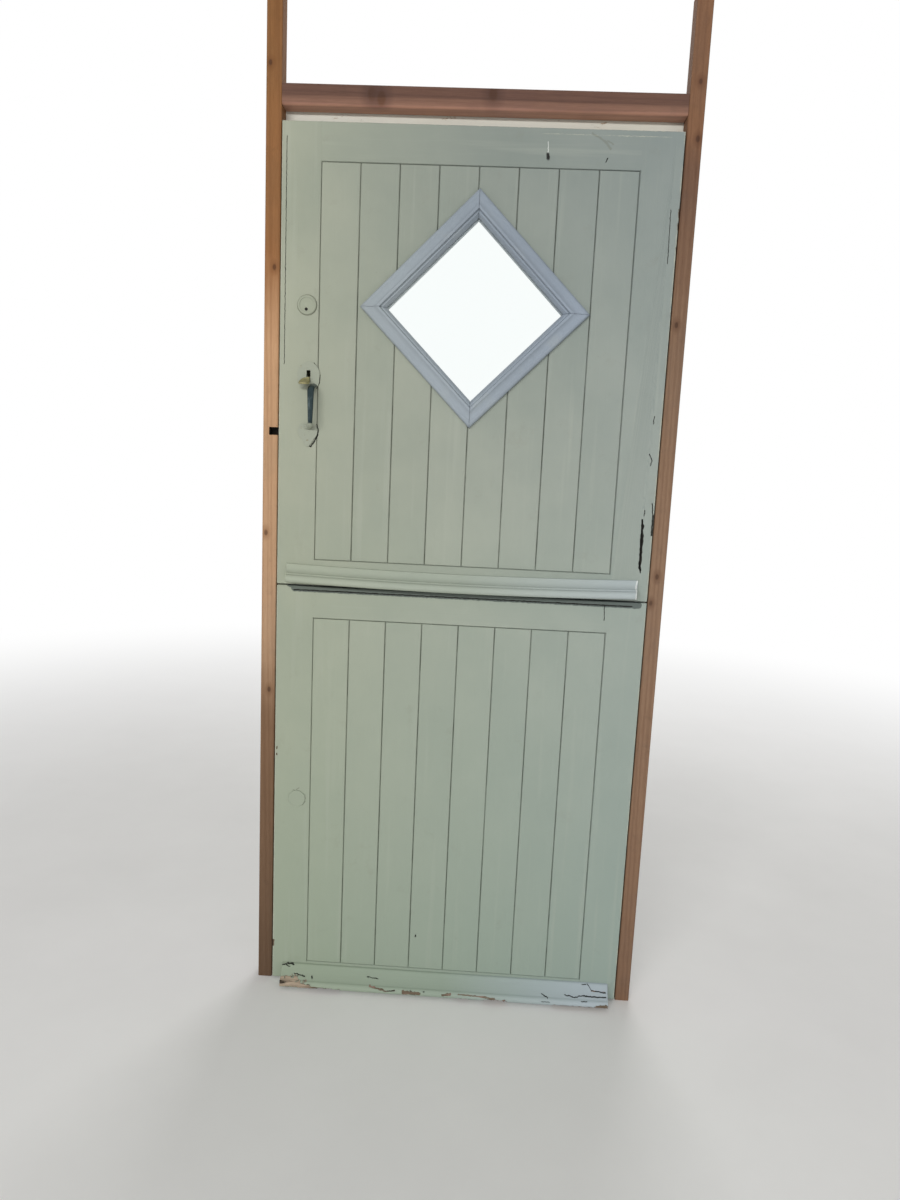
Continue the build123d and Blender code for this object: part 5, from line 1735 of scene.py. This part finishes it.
@dataclass
class ThumbLatch:
    """Pull handle, thumb lever, bar, staple and keeper.

    The screws' sizes are in mm. The pull handle's own screws stand at metres across the door
    and up it. A ring of the back plate is half its width, half its height, its corners' radius
    and its height over the leaf, all in mm.
    """

    ease: float = 0.6
    lever_ease: float = 0.7
    handle_screws: tuple[Point2, ...] = (
        (-0.358, 1.321), (-0.372, 1.349), (-0.375, 1.481), (-0.374, 1.441))
    handle_screw_radius: float = 2.5
    handle_screw_rise: float = 2.9
    pivot_screw_radius: float = 2.6
    pivot_screw_rise: float = 2.7
    screw_radius: float = 3.2
    screw_rise: float = 2.5
    screw_inset: float = 6.0
    keeper_screw_inset: float = 7.0
    slot_left: float = -362.5
    slot_right: float = -353.5
    plate_lift: float = 6.0
    plate_corner_steps: int = 4
    plate_rings: tuple[tuple[float, float, float, float], ...] = (
        (13.0, 25.0, 3.0, -0.2), (13.0, 25.0, 3.0, 0.9), (12.5, 24.5, 2.6, 1.3),
        (4.6, 17.4, 1.2, 1.3), (4.3, 17.0, 1.0, 1.0), (4.3, 17.0, 1.0, -0.2))
    grip_line: float = -346.0
    grip_stand: float = 30.0
    grip_blend: float = 4.0
    grip_top: float = 1.44
    grip_foot: float = 1.36
    grip_end: float = 14.0
    grip_end_blend: float = 10.0
    grip_taper: float = 0.38

    def build(self) -> None:
        """Redraws the latch and drives its screws."""
        self.slim_grip(eased("pull_handle", self.ease, "grip_steel", GRIP_STEEL))
        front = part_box("upper_left_stile")[0].y - self.handle_screw_rise * MM
        spots = [(x, front, z) for x, z in self.handle_screws]
        screw_heads("pull_handle_screws", spots, FACING_OUT, self.handle_screw_radius, "upper_leaf",
                    "grip_steel", PAINTED_SCREW)
        self.back_plate()
        eased("thumb_lever", self.lever_ease, "worn_brass", WORN_BRASS)
        for node in ("latch_bar", "latch_pivot_plate", "latch_staple", "latch_keeper"):
            eased(node, self.ease, "black_iron", BLACK_IRON)
        self.drive_inside_screws()

    def drive_inside_screws(self) -> None:
        """Drives the screws of the pivot plate, the staple and the keeper."""
        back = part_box("upper_left_stile")[1].y
        inset = self.screw_inset * MM
        low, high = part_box("latch_pivot_plate")
        spots = [(x, back + self.pivot_screw_rise * MM, z) for x in (low.x + inset, high.x - inset)
                 for z in (low.z + inset, high.z - inset)]
        screw_heads("latch_plate_screws", spots, FACING_IN, self.pivot_screw_radius, "upper_leaf",
                    "black_iron", BLACK_IRON)
        surface = back + self.screw_rise * MM
        low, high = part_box("latch_staple")
        spots = [((low.x + high.x) / 2, surface, z) for z in (low.z + inset, high.z - inset)]
        screw_heads("latch_staple_screws", spots, FACING_IN, self.screw_radius, "upper_leaf",
                    "black_iron", BLACK_IRON)
        low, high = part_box("latch_keeper")
        spots = [((low.x + high.x) / 2, surface, high.z - self.keeper_screw_inset * MM)]
        screw_heads("latch_keeper_screws", spots, FACING_IN, self.screw_radius, "frame",
                    "black_iron", BLACK_IRON)

    def slim_grip(self, grip: bpy.types.Object) -> None:
        """Draws the bar of the pull handle in towards its foot, as a forged grip is.

        Args:
            grip: the pull handle.
        """
        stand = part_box("pull_handle")[0].y + self.grip_stand * MM
        for vert in grip.data.vertices:
            place = vert.co
            out = held_share(stand - place.y, self.grip_blend * MM)
            down = held_share(self.grip_top - place.z, self.grip_top - self.grip_foot)
            clear = held_share(place.z - self.grip_foot + self.grip_end * MM,
                               self.grip_end_blend * MM)
            place.x += (self.grip_line * MM - place.x) * self.grip_taper * out * down * clear

    def back_plate(self) -> None:
        """Draws the slotted plate round the lever's tail on the inside."""
        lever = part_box("thumb_lever")
        middle = (0.5 * (self.slot_left + self.slot_right)) * MM
        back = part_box("upper_left_stile")[1].y
        centre = 0.5 * (lever[0].z + lever[1].z) + self.plate_lift * MM
        shape = bmesh.new()
        rings = []
        for half_wide, half_high, corner, depth in self.plate_rings:
            ring = []
            for number, (side, rise) in enumerate(((1, 1), (-1, 1), (-1, -1), (1, -1))):
                for step in range(self.plate_corner_steps + 1):
                    angle = math.pi / 2.0 * (number + step / self.plate_corner_steps)
                    ring.append(shape.verts.new((
                        middle + (side * (half_wide - corner) + corner * math.cos(angle)) * MM,
                        back + depth * MM,
                        centre + (rise * (half_high - corner) + corner * math.sin(angle)) * MM)))
            rings.append(ring)
        join_rings(shape, rings + rings[:1])
        settle(make_object("latch_back_plate", shape), "upper_leaf", "black_iron", BLACK_IRON)


@dataclass
class BarrelBolts:
    """The link bolt between the leaves and the lower leaf's bolt, in mm."""

    ease: float = 0.4
    screw_radius: float = 2.6
    screw_rise: float = 3.0
    side_inset: float = 4.0
    end_inset: float = 22.0

    def build(self) -> None:
        """Redraws the bolts and drives their screws."""
        for node in ("link_bolt_case", "link_keep", "lower_bolt_case", "lower_bolt_keep",
                     "link_bolt_rod", "lower_bolt_rod"):
            eased(node, self.ease, "bolt_steel", BOLT_STEEL)
        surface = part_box("upper_left_stile")[1].y + self.screw_rise * MM
        side, end = self.side_inset * MM, self.end_inset * MM
        low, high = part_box("link_bolt_case")
        spots = [(x, surface, z) for x in (low.x + side, high.x - side)
                 for z in (low.z + end, high.z - end)]
        screw_heads("link_bolt_screws", spots, FACING_IN, self.screw_radius, "upper_leaf",
                    "bolt_steel", BOLT_STEEL)
        low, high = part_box("lower_bolt_case")
        spots = [(x, surface, z) for z in (low.z + side, high.z - side)
                 for x in (low.x + end, high.x - end)]
        screw_heads("lower_bolt_screws", spots, FACING_IN, self.screw_radius, "lower_leaf",
                    "bolt_steel", BOLT_STEEL)


# The stage: floor, backdrop, lamps and camera


@dataclass(frozen=True)
class Lamp:
    """A soft lamp: where it hangs, what it faces and its size, in metres, and its watts."""

    name: str
    place: Point3
    aim: Point3
    size: Point2
    power: float


@dataclass
class Stage:
    """Pale floor, white backdrop, soft lamps and the camera."""

    lens: float = 24.195
    sensor_width: float = 36.0
    nearest: float = 0.05
    camera_place: Point3 = (0.04661695, -1.84833072, 1.25943788)
    pitch: float = -8.818
    yaw: float = 2.176
    roll: float = 2.587
    floor_reach: float = 14.0
    floor_tones: tuple[Colour, Colour] = ((0.84, 0.835, 0.82), (0.88, 0.875, 0.86))
    fade_from: float = 1.0
    fade_to: float = 5.0
    world_level: float = 0.30
    world_tint: Colour = (1.0, 0.99, 0.97)
    lamps: tuple[Lamp, ...] = (
        Lamp("key_lamp", (-1.4, -6.2, 3.1), (0.0, 0.0, 1.1), (5.0, 0.4), 268.0),
        Lamp("fill_lamp", (2.4, -3.4, 1.7), (0.0, 0.0, 1.0), (2.6, 2.6), 14.0),
        Lamp("back_lamp", (0.6, 3.4, 3.0), (0.0, 0.0, 1.1), (2.0, 2.0), 60.0))

    def build(self) -> None:
        """Sets up everything round the door."""
        scene = bpy.context.scene
        scene.view_settings.view_transform = "Standard"
        self.lay_floor()
        self.light_world(scene)
        for lamp in self.lamps:
            self.hang_lamp(lamp)
        self.place_camera(scene)

    def lay_floor(self) -> None:
        """Lays a pale floor that fades into the white backdrop."""
        shape = bmesh.new()
        bmesh.ops.create_grid(shape, x_segments=4, y_segments=4, size=self.floor_reach)
        floor = make_object("studio_floor", shape)
        g = Graph("pale_floor")
        mottle = g.noise(2.4, detail=5.0, roughness=0.6)
        colour = g.mix(g.span(mottle, 0.3, 0.7), *self.floor_tones)
        g.link(colour, g.shader.inputs["Base Color"])
        g.shader.inputs["Roughness"].default_value = 0.85
        white = g.node("ShaderNodeEmission")
        away = g.vector("LENGTH", g.vector("MULTIPLY", g.place, (1.0, 1.0, 0.0)))
        path = g.node("ShaderNodeLightPath").outputs
        seen = g.highest([path[f"Is {kind} Ray"] for kind in ("Camera", "Glossy", "Transmission")])
        blend = g.node("ShaderNodeMixShader")
        fade = g.math("MULTIPLY", g.span(away, self.fade_from, self.fade_to, smooth=True), seen)
        g.link(fade, blend.inputs["Fac"])
        g.link(g.shader.outputs["BSDF"], blend.inputs[1])
        g.link(white.outputs["Emission"], blend.inputs[2])
        output = next(node for node in g.tree.nodes if node.type == "OUTPUT_MATERIAL")
        g.link(blend.outputs["Shader"], output.inputs["Surface"])
        floor.data.materials.append(g.material)

    def light_world(self, scene: bpy.types.Scene) -> None:
        """White where the camera, glass or metal looks past the door, plain soft light elsewhere.

        Args:
            scene: the scene to light.
        """
        world = bpy.data.worlds.new("soft_studio")
        world.use_nodes = True
        tree = world.node_tree
        tree.nodes.clear()
        output = tree.nodes.new("ShaderNodeOutputWorld")
        mix = tree.nodes.new("ShaderNodeMixShader")
        seen = tree.nodes.new("ShaderNodeBackground")
        seen.inputs["Strength"].default_value = 1.0
        seen.inputs["Color"].default_value = (1.0, 1.0, 1.0, 1.0)
        lit = tree.nodes.new("ShaderNodeBackground")
        lit.inputs["Strength"].default_value = self.world_level
        lit.inputs["Color"].default_value = (*self.world_tint, 1.0)
        path = tree.nodes.new("ShaderNodeLightPath")
        any_ray = path.outputs["Is Camera Ray"]
        for other in ("Is Glossy Ray", "Is Transmission Ray"):
            either = tree.nodes.new("ShaderNodeMath")
            either.operation = "MAXIMUM"
            tree.links.new(any_ray, either.inputs[0])
            tree.links.new(path.outputs[other], either.inputs[1])
            any_ray = either.outputs["Value"]
        tree.links.new(any_ray, mix.inputs["Fac"])
        tree.links.new(lit.outputs["Background"], mix.inputs[1])
        tree.links.new(seen.outputs["Background"], mix.inputs[2])
        tree.links.new(mix.outputs["Shader"], output.inputs["Surface"])
        scene.world = world

    def hang_lamp(self, lamp: Lamp) -> None:
        """Hangs one soft lamp.

        Args:
            lamp: the lamp's place, size and power.
        """
        data = bpy.data.lights.new(lamp.name, "AREA")
        data.shape = "RECTANGLE"
        data.size, data.size_y = lamp.size
        data.energy = lamp.power
        hung = bpy.data.objects.new(lamp.name, data)
        hung.location = lamp.place
        sight = Vector(lamp.aim) - Vector(lamp.place)
        hung.rotation_euler = sight.to_track_quat("-Z", "Y").to_euler()
        hung.visible_glossy = False
        hung.visible_transmission = False
        bpy.context.scene.collection.objects.link(hung)

    def place_camera(self, scene: bpy.types.Scene) -> None:
        """Sets the camera where the photographer stood.

        Args:
            scene: the scene that gets the camera.
        """
        data = bpy.data.cameras.new("camera")
        data.lens = self.lens
        data.sensor_width = self.sensor_width
        data.clip_start = self.nearest
        camera = bpy.data.objects.new("camera", data)
        turn = (Matrix.Rotation(math.radians(self.yaw), 3, "Z")
                @ Matrix.Rotation(math.radians(90.0 + self.pitch), 3, "X")
                @ Matrix.Rotation(math.radians(self.roll), 3, "Z"))
        camera.matrix_world = Matrix.Translation(self.camera_place) @ turn.to_4x4()
        scene.collection.objects.link(camera)
        scene.camera = camera


# Where the lower weatherboard's paint has come away
LOWER_TEARS = (
    Tear((-4, 12), (36, 13), 9.0, 0.9), Tear((36, 12), (70, 8), 6.0, 0.8),
    Tear((60, 5), (94, 3), 4.0, 0.8), Tear((98, 2), (146, 0), 5.0, 2.6),
    Tear((222, 17), (250, 14), 1.3, 1.2), Tear((248, 14), (262, 10), 2.2, 1.4),
    Tear((262, 10), (284, 13), 1.2, 0.8), Tear((307, 10), (342, 9), 4.6, 1.4),
    Tear((401, 10), (420, 13), 2.4, 2.0), Tear((436, 0), (462, 1), 3.0, 1.8),
    Tear((440, 14), (492, 13), 1.3, 0.8), Tear((492, 13), (528, 10), 1.7, 0.8),
    Tear((508, 2), (552, 3), 5.0, 2.8), Tear((672, 1), (798, 2), 3.6, 1.3),
    Tear((775, 5), (806, 9), 4.2, 1.2), Tear((764, 31), (796, 31), 1.4, 0.9),
)
# Cracks in the same board's paint, in mm from the leaf's latch edge and foot
LOWER_BAR_MARKS = (
    *strokes(Wear.CRACK,
            (668, 22, 682, 18, 0.8), (667, 12, 686, 12, 0.9), (723, 23, 746, 21, 0.8),
            (746, 21, 768, 23, 0.8), (768, 23, 823, 23, 1.0), (766, 39, 776, 40, 0.8),
            (779, 41, 789, 31, 0.8), (789, 31, 822, 29, 1.0), (762, 17, 776, 17, 0.8),
            (27, 38, 40, 41, 1.1), (40, 41, 57, 40, 1.1), (36, 39, 47, 36, 0.9),
            (60, 27, 88, 24, 0.9), (105, 24, 107, 22, 1.5), (240, 29, 268, 27, 0.7),
            (381, 15, 383, 15, 1.4)),
)
# Undercoat that shows at the upper board's right-hand end
UPPER_BAR_MARKS = (
    *strokes(Wear.SCRATCH,
            (815.5, 986, 815.5, 1006, 2.2), (815.5, 1006, 821.5, 1036, 2.2)),
    *strokes(Wear.CRACK,
            (22.0, 1021, 22.0, 1030, 0.7)),
)


def main() -> None:
    """Builds the door's parts in order, then the stage."""
    logging.basicConfig(level=logging.INFO, format="%(name)s: %(message)s")
    Leaf("upper", ("upper_left_stile", "upper_right_stile", "upper_lipping"),
         ("upper_top_rail", "upper_foot_rail", "latch_block")).build()
    Leaf("lower", ("lower_left_stile", "lower_right_stile", "lower_lipping"),
         ("lower_head_rail", "lower_foot_rail"), ("lower_brace",)).build()
    Split().carve()
    upper_bar = SagePaint("sage_upper_bar", Grain.ACROSS, marks=UPPER_BAR_MARKS,
                          light=(0.42, 0.455, 0.385), deep=(0.37, 0.41, 0.355), sky_sheen=0.6)
    Weatherboard("upper_weatherboard", 3.0, 7.0, shift=-4.5).build(upper_bar)
    lower_bar = SagePaint("sage_lower_bar", Grain.ACROSS, flaking=True, marks=LOWER_BAR_MARKS,
                          light=(0.40, 0.455, 0.37), deep=(0.35, 0.405, 0.335), sky_sheen=0.8)
    Weatherboard("lower_weatherboard", 0.0, 0.0, splay=3.0, tears=LOWER_TEARS).build(lower_bar)
    DiamondWindow().build()
    DoorFrame().build()
    Hinges().build()
    RimLock().build()
    ThumbLatch().build()
    BarrelBolts().build()
    eased("blanking_disc", 0.5, "sage_paint", SagePaint("sage_disc", Grain.ACROSS, relief=0.6))
    Stage().build()


if __name__ == "__main__":
    main()
